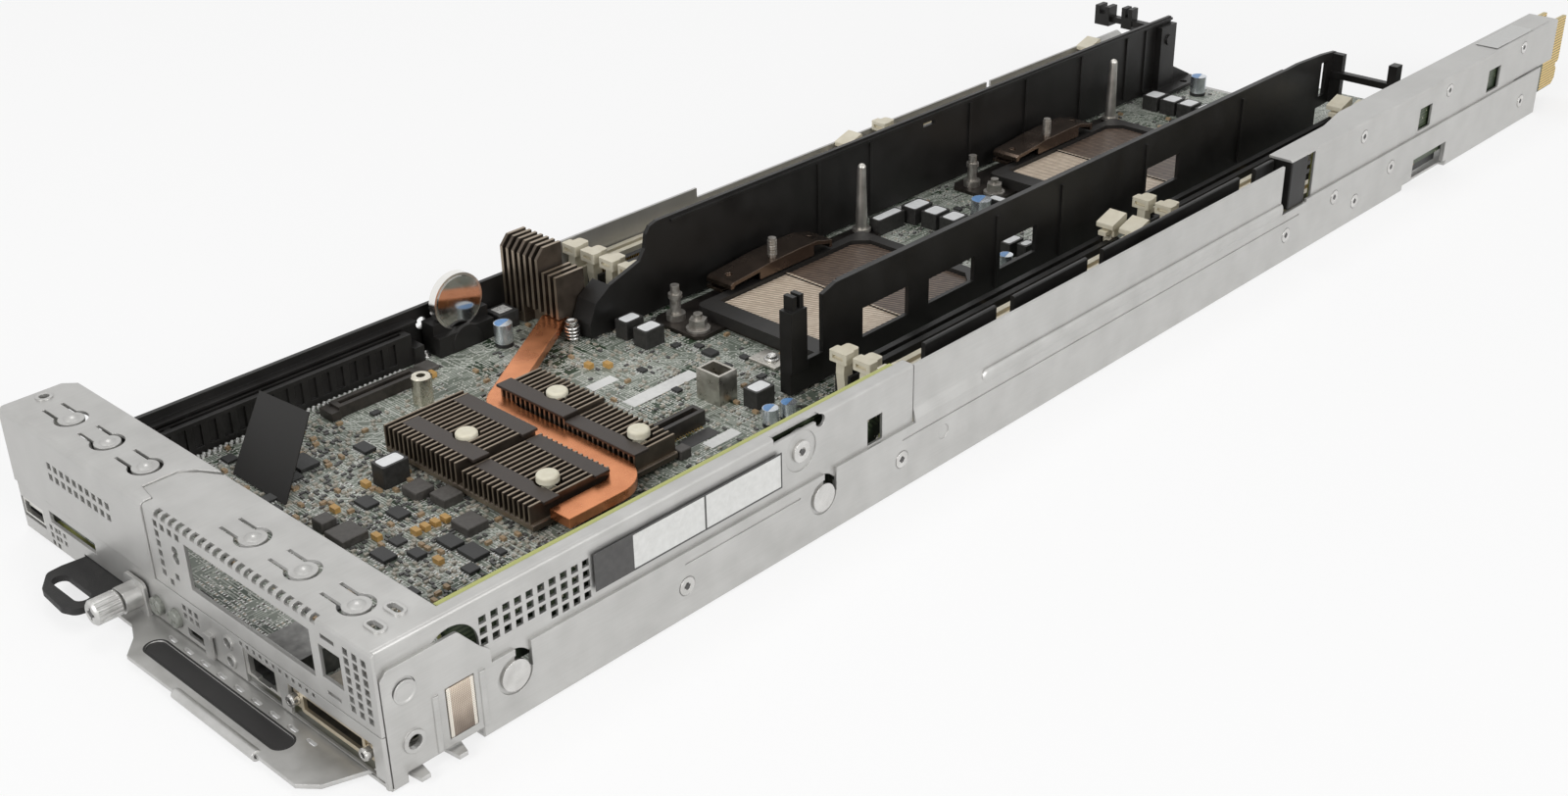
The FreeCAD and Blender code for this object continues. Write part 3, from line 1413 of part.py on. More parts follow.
def usb_port():
    shell = box(-87.9, -75.8, 0.2, 15.0, board_top + seat, 11.3)
    mouth = box(-87.2, -76.5, -1, 12.0, board_top + 0.6, 10.7)
    tongue = box(-86.2, -77.5, 1.0, 12.5, 8.6, 10.0)
    return fuse([shell.cut(mouth), tongue])


def service_port():
    shell = box(1.9, 9.3, 1.1, 7.0, board_top + seat, 8.4)
    return shell.cut(box(2.5, 8.7, -1, 5.6, board_top + 0.6, 7.9))


def button(x, z):
    cap = rod(x, -1.6, z, button_radius, 4.2, V(0, 1, 0))
    cap = cap.makeFillet(0.5, [e for e in cap.Edges if e.BoundBox.YMax < -1.5])
    stem = rod(x, 2.4, z, 1.0, 3.6, V(0, 1, 0))
    return fuse([cap, stem])


def switch_body(x, z):
    """The switch on the board behind a button, bored for the button's stem."""
    body = box(x - 2.9, x + 2.9, 4.2, 9.6, board_top + seat, z + 2.6)
    return body.cut(rod(x, 4.0, z, 1.0 + running, 4.0, V(0, 1, 0)))


def contact_pad():
    return box(inner - 0.4, half + 0.15, pad_y0, pad_y1, pad_z0, pad_z1)


def flush_screw(x, y, z, radius):
    """A flat screw head with a six-lobed socket, seen from +X."""
    head = rod(x, y, z, radius, 0.45, V(1, 0, 0))
    lobes = [box(x + 0.15, x + 1, y - 0.35, y + 0.35, z - 1.1, z + 1.1)]
    lobes.append(box(x + 0.15, x + 1, y - 1.1, y + 1.1, z - 0.35, z + 0.35))
    return cut(head, lobes)


def all_wall_screws():
    made = [flush_screw(half - 0.35 + seat, y, z, 2.7) for y, z in wall_screws]
    made += [flush_screw(shelf - 0.35 + seat, y, z, 2.5) for y, z in upper_screws]
    head = rod(shelf - 0.33, 144.5, 31.4, 3.3, 0.9, V(1, 0, 0))
    shank = rod(shelf - 3.4, 144.5, 31.4, 1.85, 3.2, V(1, 0, 0))
    socket_cut = rod(shelf, 144.5, 31.4, 1.3, 2, V(1, 0, 0))
    made.append(fuse([head, shank]).cut(socket_cut))
    return group(made)


def shoulder_studs():
    made = []
    for dy in (0.0, hook_pitch):
        y = hook_y + dy
        shank = rod(shelf + 0.02, y, hook_z, hook_radius - 0.3, 1.1, V(1, 0, 0))
        head = rod(half - 0.5, y, hook_z, hook_ring - 1.9, 0.9, V(1, 0, 0))
        made.append(fuse([shank, head]))
    return group(made)


def board_connectors():
    """The small connectors soldered straight to the system board."""
    shell = box(8.6, 19.0, 180.6, 188.6, board_top + seat, 16.6)
    mouth = box(9.6, 18.0, 181.6, 187.6, 10.0, 18.0)
    strip = box(18.0, 23.6, 148.4, 169.6, board_top + seat, 11.0)
    groove = box(19.6, 22.0, 149.8, 168.2, 8.0, 12.0)
    switches = [switch_body(*power_place), switch_body(*marker_place)]
    return group([shell.cut(mouth), strip.cut(groove), edge_socket(), service_port()] + switches)


def board_screws():
    made = []
    for x, y in board_posts:
        washer = rod(x, y, board_top + seat, 3.2, 0.6)
        head = rod(x, y, board_top + seat + 0.55, 2.5, 1.6)
        shank = rod(x, y, sheet + 1.2, board_screw, board_top - sheet - 1.0)
        hexagon = rod(x, y, board_top + 1.4, 1.1, 2)
        made.append(fuse([washer, head, shank]).cut(hexagon))
    return group(made)


save("tray", tray())
save("io_panel", io_panel())
save("blank_cover", blank_cover())
save("riser_cage", riser_cage())
save("left_baffle", left_baffle())
save("rear_channel", rear_channel())
save("end_block", end_block())
save("system_board", system_board())
save("riser_board", riser_board())
save("adapter_board_inner", adapter_board(inner_board_x, inner_board_start, rear_board_reach, 7.2))
save("adapter_board_outer", adapter_board(outer_board_x, outer_board_start, rear_board_reach + 1.6, 7.2))
save("card_slot", card_slot())
save("leaning_card", leaning_card())
save("board_post", board_post())
save("coin_cell", coin_cell())
save("cell_holder", cell_holder())
save("capacitors", capacitors())
save("inductors", inductors())
save("heatsink", heatsink())
save("push_pins", push_pins())
save("heat_pipe", heat_pipe())
save("fin_stack", fin_stack())
save("socket_front", socket(0.0))
save("socket_rear", socket(cpu_pitch))
save("bolster_front", bolster(0.0))
save("bolster_rear", bolster(cpu_pitch))
save("spring_bar_front", spring_bar(0.0))
save("spring_bar_rear", spring_bar(cpu_pitch))
save("load_studs", load_studs())
save("corner_studs", corner_studs())
save("corner_nuts", corner_nuts())
save("memory_sockets_black", sockets(False))
save("memory_sockets_ivory", sockets(True))
for side_name in ("left", "right"):
    for bank_number in (0, 1):
        for end_name, end_way in (("front", -1), ("rear", 1)):
            node = "latches_" + side_name + "_" + str(bank_number + 1) + "_" + end_name
            save(node, latches(side_name, bank_number, end_way))
save("duct_left", duct_left())
save("duct_right", duct_right())
save("duct_skirt", duct_skirt())
save("cam_handle", cam_handle())
save("handle_pivot", handle_pivot())
save("screw_collar", screw_collar())
save("thumbscrew", thumbscrew())
save("pull_tab", pull_tab())
save("console_port", console_port())
save("jack_screws", jack_screws())
save("network_port", network_port())
save("usb_port", usb_port())
save("power_button", button(*power_place))
save("id_button", button(*marker_place))
save("contact_pad", contact_pad())
save("wall_screws", all_wall_screws())
save("shoulder_studs", shoulder_studs())
save("board_connectors", board_connectors())
save("board_screws", board_screws())
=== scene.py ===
import math
import random

import bpy
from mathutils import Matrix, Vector


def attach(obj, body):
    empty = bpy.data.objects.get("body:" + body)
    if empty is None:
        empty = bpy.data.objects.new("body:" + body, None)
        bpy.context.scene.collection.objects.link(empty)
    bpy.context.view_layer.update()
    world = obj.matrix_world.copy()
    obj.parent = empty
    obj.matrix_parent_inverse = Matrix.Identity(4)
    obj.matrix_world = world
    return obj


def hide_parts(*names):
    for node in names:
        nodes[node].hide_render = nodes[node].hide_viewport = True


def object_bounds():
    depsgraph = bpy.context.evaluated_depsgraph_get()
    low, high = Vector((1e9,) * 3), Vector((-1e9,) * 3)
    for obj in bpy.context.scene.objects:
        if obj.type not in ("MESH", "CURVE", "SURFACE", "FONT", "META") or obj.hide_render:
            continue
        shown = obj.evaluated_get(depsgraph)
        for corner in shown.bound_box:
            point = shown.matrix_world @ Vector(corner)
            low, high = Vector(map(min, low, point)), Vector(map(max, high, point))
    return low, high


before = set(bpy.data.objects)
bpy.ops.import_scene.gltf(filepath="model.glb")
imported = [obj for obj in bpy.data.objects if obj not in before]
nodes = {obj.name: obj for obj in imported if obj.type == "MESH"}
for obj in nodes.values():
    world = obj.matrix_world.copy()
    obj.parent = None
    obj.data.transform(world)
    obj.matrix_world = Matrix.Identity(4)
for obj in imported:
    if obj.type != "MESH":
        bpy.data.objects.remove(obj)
cad_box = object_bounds()

# Places and sizes are in millimetres in the part's frame, and mm turns them into metres
mm = 0.001
board_top = 5.8
side_face = 89.0
socket_step = 9.9


# Numbers and colours on a surface

def operator(operation, reflected=False):
    """A method of Level that adds one Math node, with its two sides swapped if reflected."""
    def method(self, other):
        pair = (other, self) if reflected else (self, other)
        return self.math(operation, *pair)
    return method


class Level:
    """A value that changes over a surface; arithmetic on it adds Math nodes."""

    def __init__(self, finish, socket):
        self.finish = finish
        self.socket = socket

    def math(self, operation, *values):
        inputs = dict(enumerate(values))
        return self.finish.node("ShaderNodeMath", {"operation": operation}, inputs)

    def __abs__(self):
        return self.math("ABSOLUTE", self)

    def floor(self):
        return self.math("FLOOR", self)

    __add__ = operator("ADD")
    __radd__ = operator("ADD", reflected=True)
    __sub__ = operator("SUBTRACT")
    __rsub__ = operator("SUBTRACT", reflected=True)
    __mul__ = operator("MULTIPLY")
    __rmul__ = operator("MULTIPLY", reflected=True)
    __truediv__ = operator("DIVIDE")
    __mod__ = operator("FLOORED_MODULO")
    __gt__ = operator("GREATER_THAN")
    __lt__ = operator("LESS_THAN")
    most = operator("MAXIMUM")
    least = operator("MINIMUM")

    def within(self, low, high):
        return (self > low) * (self < high)


class Shading:
    """A tree of shader nodes that values are added to."""

    def __init__(self, tree):
        self.tree = tree

    def set(self, socket, value):
        if isinstance(value, Level):
            self.tree.links.new(value.socket, socket)
        elif socket.type == "RGBA":
            socket.default_value = (*value, 1.0)
        else:
            socket.default_value = value

    def node(self, kind, settings=None, inputs=None, output=0):
        made = self.tree.nodes.new(kind)
        for key, value in (settings or {}).items():
            setattr(made, key, value)
        for key, value in (inputs or {}).items():
            self.set(made.inputs[key], value)
        return Level(self, made.outputs[output])

    def seen(self):
        """1 for rays from the camera, off glossy surfaces and through clear ones."""
        camera, glossy, through = [
            self.node("ShaderNodeLightPath", output="Is %s Ray" % kind)
            for kind in ("Camera", "Glossy", "Transmission")]
        return camera.most(glossy).most(through)


class Finish(Shading):
    """One material, built round its Principled shader."""

    def __init__(self, name, metallic=0.0, roughness=0.5, specular=0.5):
        self.material = bpy.data.materials.new(name)
        self.material.use_nodes = True
        super().__init__(self.material.node_tree)
        self.shader = self.tree.nodes["Principled BSDF"]
        self.set(self.shader.inputs["Metallic"], metallic)
        self.set(self.shader.inputs["Roughness"], roughness)
        self.set(self.shader.inputs["Specular IOR Level"], specular)

    def place(self, stretch=(1, 1, 1)):
        """Object coordinates in millimetres, stretched."""
        here = self.node("ShaderNodeTexCoord", output="Object")
        scale = [1000 * s for s in stretch]
        return self.node("ShaderNodeMapping", {}, {"Vector": here, "Scale": scale})

    def split(self, kind, value):
        """The three parts of a vector or a colour."""
        made = self.tree.nodes.new(kind)
        self.set(made.inputs[0], value)
        return [Level(self, out) for out in made.outputs]

    def axes(self):
        """The place on the piece in millimetres, as x, y and z."""
        return self.split("ShaderNodeSeparateXYZ", self.place())

    def facing(self):
        """The surface normal's three parts."""
        normal = self.node("ShaderNodeNewGeometry", output="Normal")
        return self.split("ShaderNodeSeparateXYZ", normal)

    def noise(self, size, detail=3, stretch=(1, 1, 1), contrast=1.0):
        """Cloudy grain with spots about size across, from 0 to 1 round a half."""
        grain = self.node("ShaderNodeTexNoise", {}, {
            "Vector": self.place(stretch), "Scale": 1.0 / size, "Detail": detail})
        return (grain - 0.5) * contrast + 0.5

    def cells(self, size, distance="EUCLIDEAN", randomness=1.0, output=0):
        """Cells about size across, by default as the distance from their middles."""
        return self.node("ShaderNodeTexVoronoi", {"distance": distance}, {
            "Vector": self.place(), "Scale": 1.0 / size, "Randomness": randomness}, output)

    def patches(self, size):
        """Three random levels that change from one square patch to the next."""
        colour = self.cells(size, "CHEBYCHEV", output="Color")
        return self.split("ShaderNodeSeparateColor", colour)

    def chance(self, first, second, seed):
        """A random level for each pair of whole numbers."""
        pair = self.node("ShaderNodeCombineXYZ", {}, {0: first, 1: second, 2: seed})
        return self.node("ShaderNodeTexWhiteNoise", {"noise_dimensions": "3D"}, {"Vector": pair})

    def mix(self, amount, first, second):
        """The first colour where amount is 0, the second where it is 1."""
        inputs = {0: amount, 6: first, 7: second}
        return self.node("ShaderNodeMix", {"data_type": "RGBA"}, inputs, 2)

    def colour(self, value):
        self.set(self.shader.inputs["Base Color"], value)

    def rough(self, value):
        self.set(self.shader.inputs["Roughness"], value)

    def metal(self, value):
        self.set(self.shader.inputs["Metallic"], value)

    def bump(self, height, depth, edge=0.0):
        """Height from 0 to 1 raises the surface by up to depth; edge rounds the corners."""
        inputs = {"Distance": depth * mm, "Height": height}
        if edge:
            inputs["Normal"] = self.node("ShaderNodeBevel", {"samples": 4}, {"Radius": edge * mm})
        self.set(self.shader.inputs["Normal"], self.node("ShaderNodeBump", {}, inputs))


def sheet_steel():
    """Galvanised sheet: pale, satin, faintly mottled, with rolling lines along the sled."""
    f = Finish("sheet_steel", metallic=0.62)
    mottle = f.noise(9.0, 4, contrast=1.5)
    lines = f.noise(0.35, 2, stretch=(1, 0.03, 1), contrast=1.2)
    smudge = f.noise(38.0, 2, contrast=1.6)
    tone = mottle * 0.45 + lines * 0.25 + smudge * 0.3
    f.colour(f.mix(tone, (0.37, 0.365, 0.35), (0.56, 0.555, 0.54)))
    f.rough(0.25 + 0.16 * mottle + 0.08 * lines)
    f.bump(lines * 0.6 + f.noise(0.8, 3) * 0.4, 0.02, edge=0.35)
    return f.material


def cloudy(name, cloud, first, second, roughness, rise, skin, depth, edge=0.0, **shader):
    """A plain finish: soft clouds of two colours, rougher in the second, over a fine skin.

    cloud and skin are what noise takes, and shader is what Finish takes.
    """
    f = Finish(name, **shader)
    clouds = f.noise(**cloud)
    f.colour(f.mix(clouds, first, second))
    f.rough(roughness + rise * clouds)
    f.bump(f.noise(**skin), depth, edge)
    return f.material


def turned_steel():
    """Bright plated screws and studs with faint turning marks and a little dirt."""
    return cloudy("turned_steel", dict(size=5.0, detail=2, contrast=1.5),
                  (0.50, 0.49, 0.47), (0.74, 0.73, 0.71), 0.17, 0.12,
                  dict(size=0.25, detail=2, stretch=(0.1, 1, 1)), 0.006, 0.25, metallic=0.95)


def port_shell(name="port_shell", plating=(0.66, 0.65, 0.62)):
    """Plated connector shells, darker inside: their dark inner parts, and painted shade deep in the
    openings.
    """
    f = Finish(name, metallic=0.9)
    # Deeper than 1.6 mm is darker: dark inner parts, with painted shade in the openings.
    inside = (f.axes()[1] > 1.6) * (0.6 + 0.4 * f.noise(3.0, 2))
    f.colour(f.mix(inside, plating, (0.05, 0.05, 0.05)))
    f.rough(0.24 + 0.2 * f.noise(1.2, 3))
    f.bump(f.noise(0.5, 2), 0.015, edge=0.2)
    return f.material


def plate_steel():
    """Browned plates under the processors, satin with rubbed edges."""
    f = Finish("plate_steel", metallic=0.9)
    z = f.axes()[2]
    cloud = f.noise(6.0, 4, contrast=1.8)
    brown = f.mix(cloud, (0.040, 0.034, 0.030), (0.085, 0.073, 0.064))
    rubbed = f.mix(cloud, (0.36, 0.34, 0.31), (0.62, 0.60, 0.56))
    f.colour(f.mix(z > 8.2, brown, rubbed))
    f.rough(0.3 + 0.2 * cloud)
    f.bump(f.noise(0.6, 2), 0.015)
    return f.material


def bar_steel():
    """Sprung load bars of smooth bronze brown steel, drawn lengthwise."""
    f = Finish("bar_steel", metallic=0.95)
    streak = f.noise(0.6, 2, stretch=(1, 0.05, 1), contrast=1.3)
    worn = f.noise(9.0, 3, contrast=1.6)
    f.colour(f.mix(worn * 0.75 + streak * 0.25, (0.10, 0.072, 0.055), (0.22, 0.165, 0.13)))
    f.rough(0.2 + 0.1 * worn)
    f.bump(streak, 0.003, edge=0.4)
    return f.material


def black_plastic(name="black_plastic", base=0.0085, gloss=0.42):
    """Moulded black plastic with a fine even skin and handling haze."""
    dark = (base * 0.7, base * 0.65, base * 0.6)
    pale = (base * 1.6, base * 1.5, base * 1.4)
    return cloudy(name, dict(size=14.0, contrast=1.8), dark, pale, gloss - 0.1, 0.2,
                  dict(size=0.35, detail=2), 0.03, 0.25, specular=0.32)


def ivory_plastic():
    """Warm ivory latches."""
    return cloudy("ivory_plastic", dict(size=4.0, contrast=1.6),
                  (0.70, 0.64, 0.49), (0.83, 0.78, 0.64), 0.36, 0.16,
                  dict(size=0.4, detail=2), 0.02, specular=0.45)


def socket_plastic(name, dark, pale):
    """Memory sockets: moulded plastic with rows of gold contacts in the grooves."""
    f = Finish(name, specular=0.4)
    x, y, z = f.axes()
    cloud = f.noise(5.0, 3, contrast=1.6)
    right = near_every(x, 45.2, socket_step, 1.0)
    left = near_every(x, -84.1, socket_step, 1.0)
    groove = (x > 0.0) * right + (x < 0.0) * left
    contact = groove * lines_along(y, 0.85, 0.5) * (z < 15.15)
    f.colour(f.mix(contact, f.mix(cloud, dark, pale), (0.70, 0.52, 0.20)))
    f.metal(contact * 0.9)
    f.rough(0.36 + 0.14 * cloud)
    f.bump(f.noise(0.4, 2), 0.02, edge=0.2)
    return f.material


def cream_pin():
    """Cream push pins with a soft sheen."""
    return cloudy("cream_pin", dict(size=2.0, contrast=1.5),
                  (0.74, 0.69, 0.53), (0.86, 0.82, 0.68), 0.4, 0.15,
                  dict(size=0.5, detail=2), 0.02, specular=0.4)


def lines_along(level, pitch, share):
    """Stripes across an axis: a share of each pitch is 1."""
    return (level % pitch) < pitch * share


def near_every(level, first, pitch, reach):
    """1 within reach of first and of all places whole pitches away from it."""
    return abs(((level - first + pitch / 2) % pitch) - pitch / 2) < reach


def circuit(f, x, y, scale):
    """Trace runs in three directions, changed from patch to patch, as a level from 0 to 1."""
    way, amount = f.patches(9.0 * scale)[:2]
    pitch = 1.05 * scale
    across = lines_along(x, pitch, 0.5)
    along = lines_along(y, pitch, 0.5)
    slanted = lines_along(x + y, pitch * 1.4, 0.5)
    traces = (way < 0.45) * along + way.within(0.45, 0.75) * across + (way > 0.75) * slanted
    return traces * (amount > 0.15)


def runs(f, across, along, pitch, length, seed):
    """Straight traces of random lengths, side by side at a pitch."""
    lane = (across / pitch).floor()
    stretch = (along / length + f.chance(lane, 0.0, seed)).floor()
    return lines_along(across, pitch, 0.48) * (f.chance(lane, stretch, seed + 1) > 0.4)


def pads(f, x, y, pitch, radius, share, seed):
    """Round lands on a grid, present at a share of its places."""
    i, j = (x / pitch).floor(), (y / pitch).floor()
    u, v = (x % pitch) - pitch / 2, (y % pitch) - pitch / 2
    return (u * u + v * v < radius ** 2) * (f.chance(i, j, seed) < share)


def printed_board():
    """The main board: straight traces, vias, printed outlines and the smallest parts."""
    f = Finish("printed_board", specular=0.5)
    x, y = f.axes()[:2]
    turn, amount, third = f.patches(11.0)
    fine = (turn < 0.5) * runs(f, x, y, 0.9, 6.0, 1.0) + (turn > 0.5) * runs(f, y, x, 0.9, 5.0, 4.0)
    wide = runs(f, x - y, x + y, 2.3, 9.0, 7.0) * (amount > 0.72)
    traces = fine.most(wide)
    vias = pads(f, x, y, 1.45, 0.3, 0.34, 11.0)
    crowd = (f.noise(15.0, 2, contrast=2.4) + (y < 92.0) * 0.22 - (x < -40.0) * 0.2) > 0.56
    part_x, part_y = 2.3, 1.5
    i, j = (x / part_x).floor(), (y / part_y).floor()
    u, v = x % part_x, y % part_y
    there = (f.chance(i, j, 17.0) < 0.42) * crowd * v.within(0.35, 1.15)
    ends = there * (u.within(0.25, 0.7).most(u.within(1.6, 2.05)))
    body = there * u.within(0.7, 1.6)
    outline = f.node("ShaderNodeTexBrick", {"offset": 0.37, "squash": 0.7, "squash_frequency": 3}, {
        "Vector": f.place(), "Scale": 1.0, "Brick Width": 5.3, "Row Height": 3.4,
        "Mortar Size": 0.1, "Mortar Smooth": 0.0}, 1)
    printed = outline * (f.noise(6.0, 1, contrast=2.2) > 0.56)
    top = abs(f.facing()[2]) > 0.5
    shade = f.noise(26.0, 3, contrast=2.0)
    lacquer = f.mix(shade, (0.085, 0.108, 0.080), (0.255, 0.280, 0.235))
    pours = f.mix(third > 0.84, lacquer, (0.022, 0.042, 0.020))
    traced = f.mix(traces * (0.35 + 0.65 * shade), pours, (0.60, 0.63, 0.57))
    dotted = f.mix(vias, traced, (0.72, 0.72, 0.66))
    brown = f.mix(f.chance(i, j, 23.0) > 0.6, (0.060, 0.046, 0.036), (0.42, 0.36, 0.27))
    fitted = f.mix(body, f.mix(ends, dotted, (0.86, 0.86, 0.83)), brown)
    face = f.mix(printed, fitted, (0.74, 0.74, 0.70))
    f.colour(f.mix(top, (0.42, 0.44, 0.14), face))
    f.rough(0.4 - 0.14 * ends + 0.1 * traces)
    f.metal(ends * top * 0.3)
    f.bump(traces * 0.3 + vias * 0.4 + (ends + body), 0.12)
    return f.material


def upright_board():
    """Boards on edge: green lacquer, yellow green edges, gold tabs at the rear."""
    f = Finish("upright_board", specular=0.5)
    y, z = f.axes()[1:]
    traces = circuit(f, y, z, 1.3)
    vias = f.cells(2.4, randomness=0.8) < 0.16
    face = abs(f.facing()[0]) > 0.5
    lacquer = f.mix(traces, (0.020, 0.032, 0.016), (0.060, 0.078, 0.042))
    dotted = f.mix(vias, lacquer, (0.45, 0.42, 0.32))
    tab = (y > 641.0) * lines_along(z, 1.3, 0.72)
    gilded = f.mix(tab, dotted, (0.72, 0.50, 0.16))
    edge = f.mix(y > 600.0, (0.46, 0.48, 0.15), (0.52, 0.42, 0.18))
    f.colour(f.mix(face, edge, gilded))
    f.metal(tab * face * 0.9)
    f.rough(0.4 - 0.12 * tab)
    f.bump(traces * 0.5 + vias * 0.5 + tab * 0.4, 0.03)
    return f.material


def finned_bronze():
    """Dark bronze anodised fins whose cut tips show paler metal."""
    f = Finish("finned_bronze", metallic=0.8)
    normal = f.facing()
    tips = (normal[2] > 0.8).most(normal[1] < -0.8)
    cloud = f.noise(5.0, 3, contrast=1.8)
    dark = f.mix(cloud, (0.075, 0.060, 0.047), (0.135, 0.108, 0.085))
    f.colour(f.mix(tips * 0.8, dark, (0.34, 0.28, 0.21)))
    f.rough(0.32 + 0.16 * cloud)
    f.bump(f.noise(0.5, 2, stretch=(1, 1, 0.2)), 0.02)
    return f.material


def pipe_copper():
    """Flattened copper pipe: brushed, heat stained in patches."""
    f = Finish("pipe_copper", metallic=0.95)
    stain = f.noise(9.0, 3, contrast=1.6)
    scratch = f.noise(0.4, 2, contrast=1.4)
    f.colour(f.mix(stain * 0.7 + scratch * 0.3, (0.47, 0.16, 0.065), (0.86, 0.36, 0.17)))
    f.rough(0.2 + 0.14 * stain)
    f.bump(scratch * 0.2 + f.noise(5.0, 2) * 0.8, 0.015, edge=0.6)
    return f.material


def contact_field():
    """Processor sockets: black frame, a tan half and a brown half of leaning contacts in rows."""
    f = Finish("contact_field", specular=0.4)
    x, y, z = f.axes()
    socket_pitch, socket_middle = 166.8, 96.6
    own = (y % socket_pitch) - socket_middle
    frame_top = 10.9
    inside = x.within(-29.4, 25.4) * own.within(-33.8, 40.8)
    inside = inside * (z < frame_top) * (f.facing()[2] > 0.5)
    rear_half = (own + (x + 2.0) * 0.02) > 1.2
    lean = x - own * 0.62
    slope = lines_along(lean, 1.7, 0.5)
    broken = f.chance((lean / 1.7).floor(), (own / 1.6).floor(), 31.0)
    row = slope * (0.6 + 0.4 * broken)
    tan = f.mix(row, (0.40, 0.30, 0.215), (0.97, 0.85, 0.70))
    brown = f.mix(row, (0.030, 0.020, 0.015), (0.24, 0.17, 0.125))
    half = f.mix(rear_half, tan, brown)
    chip = (abs(x + 12.0) < 1.3) * (abs(own + 15.0) < 1.5)
    frame_black = f.mix(f.noise(5.0, 3), (0.010, 0.0095, 0.009), (0.026, 0.024, 0.022))
    field = f.mix(chip, half, (0.05, 0.045, 0.04))
    f.colour(f.mix(inside, frame_black, field))
    f.rough(0.45 - 0.12 * row * inside)
    f.bump(row * inside + f.noise(0.4, 2) * 0.1, 0.15)
    return f.material


def choke_block():
    """Power inductors: dark grained ferrite."""
    f = Finish("choke_block", specular=0.45)
    grain = f.noise(1.2, 3, contrast=1.6)
    f.colour(f.mix(grain, (0.012, 0.012, 0.011), (0.040, 0.038, 0.036)))
    f.rough(0.42 + 0.15 * grain)
    f.bump(grain, 0.03, edge=0.2)
    return f.material


def can_metal():
    """Capacitor cans and the cell: bright drawn metal over a dark rubber foot."""
    f = Finish("can_metal", metallic=0.9)
    foot = f.axes()[2] < 7.0
    cloud = f.noise(3.0, 3, contrast=1.6)
    can = f.mix(cloud, (0.48, 0.52, 0.56), (0.76, 0.79, 0.82))
    f.colour(f.mix(foot, can, (0.02, 0.02, 0.02)))
    f.metal(0.9 - 0.9 * foot)
    f.rough(0.2 + 0.25 * foot + 0.1 * cloud)
    f.bump(f.noise(0.3, 2, stretch=(1, 1, 0.1)), 0.02)
    return f.material


def post_metal():
    """Nickel plated board post."""
    return cloudy("post_metal", dict(size=2.0, contrast=1.6),
                  (0.52, 0.48, 0.40), (0.78, 0.74, 0.64), 0.2, 0.15,
                  dict(size=0.3, detail=2, stretch=(1, 1, 0.1)), 0.02, metallic=1.0)


def pad_cloth():
    """The spring contact pad: a taut band of tan metal cloth, darker towards its lower end."""
    f = Finish("pad_cloth", metallic=0.55)
    y, z = f.axes()[1:]
    weave = lines_along(z, 0.5, 0.5) * 0.5 + lines_along(y, 0.5, 0.5) * 0.5
    fade = ((z - 6.0) / 14.0 + f.noise(5.0, 2, contrast=0.6) - 0.5).most(0.0).least(1.0)
    rim = (y < 19.9).most(y > 26.0)
    band = f.mix(fade, (0.16, 0.125, 0.10), (0.56, 0.47, 0.38))
    f.colour(f.mix(rim * 0.75, band, (0.80, 0.76, 0.68)))
    f.rough(0.26 + 0.1 * weave)
    f.bump(weave, 0.015, edge=0.7)
    return f.material


def soft_rubber():
    """Black rubber pull loop with a dusty bloom."""
    return cloudy("soft_rubber", dict(size=3.0, detail=4, contrast=2.0),
                  (0.010, 0.010, 0.010), (0.035, 0.034, 0.033), 0.5, 0.25,
                  dict(size=0.5), 0.05, specular=0.35)


def lever_steel():
    """The cam lever: the same sheet with a dark recessed strip along its front lip."""
    f = Finish("lever_steel")
    x, y = f.axes()[:2]
    middle_x, middle_y, reach, radius = 26.6, -7.6, 29.2, 3.5
    beyond = (abs(x - middle_x) - reach).most(0.0)
    aside = y - middle_y
    strip = (beyond * beyond + aside * aside < radius ** 2) * (f.facing()[2] > 0.5)
    mottle = f.noise(7.0, 4, contrast=1.5)
    steel = f.mix(mottle, (0.40, 0.395, 0.38), (0.58, 0.575, 0.56))
    f.colour(f.mix(strip, steel, (0.016, 0.015, 0.015)))
    f.metal(0.65 - 0.65 * strip)
    f.rough(0.28 + 0.14 * mottle + 0.1 * strip)
    f.bump(f.noise(0.4, 2, stretch=(0.05, 1, 1)), 0.02, edge=0.35)
    return f.material


def connector_body():
    """Board connectors: brown black housings, one bright shelled receptacle, gold contacts."""
    f = Finish("connector_body", specular=0.4)
    x, y = f.axes()[:2]
    shelled = x.within(8.0, 19.5) * y.within(180.0, 189.2)
    cloud = f.noise(3.0, 3, contrast=1.8)
    housing = f.mix(cloud, (0.016, 0.014, 0.012), (0.045, 0.037, 0.030))
    plated = f.mix(cloud, (0.34, 0.32, 0.28), (0.62, 0.60, 0.55))
    f.colour(f.mix(shelled, housing, plated))
    f.metal(shelled * 0.95)
    f.rough(0.34 - 0.1 * shelled + 0.12 * cloud)
    f.bump(f.noise(0.4, 2), 0.03, edge=0.2)
    return f.material


def button_lens():
    """Smoky button caps."""
    return cloudy("button_lens", dict(size=1.6, contrast=1.8),
                  (0.13, 0.135, 0.12), (0.27, 0.28, 0.25), 0.22, 0.14,
                  dict(size=0.3, detail=2), 0.02, specular=0.6)


def mirror_cell():
    """The coin cell: polished like a mirror, with a stamped rim."""
    f = Finish("mirror_cell", metallic=1.0)
    y, z = f.axes()[1:]
    middle_y, middle_z, rim_radius = 154.2, 22.4, 9.1
    along, up = y - middle_y, z - middle_z
    rim = along * along + up * up > rim_radius ** 2
    scuff = f.noise(4.0, 4, contrast=1.6)
    face = f.mix(scuff, (0.50, 0.49, 0.47), (0.62, 0.61, 0.59))
    f.colour(f.mix(rim, face, (0.80, 0.79, 0.76)))
    f.rough(0.05 + 0.1 * scuff + 0.12 * rim)
    f.bump(scuff * 0.3, 0.01)
    return f.material


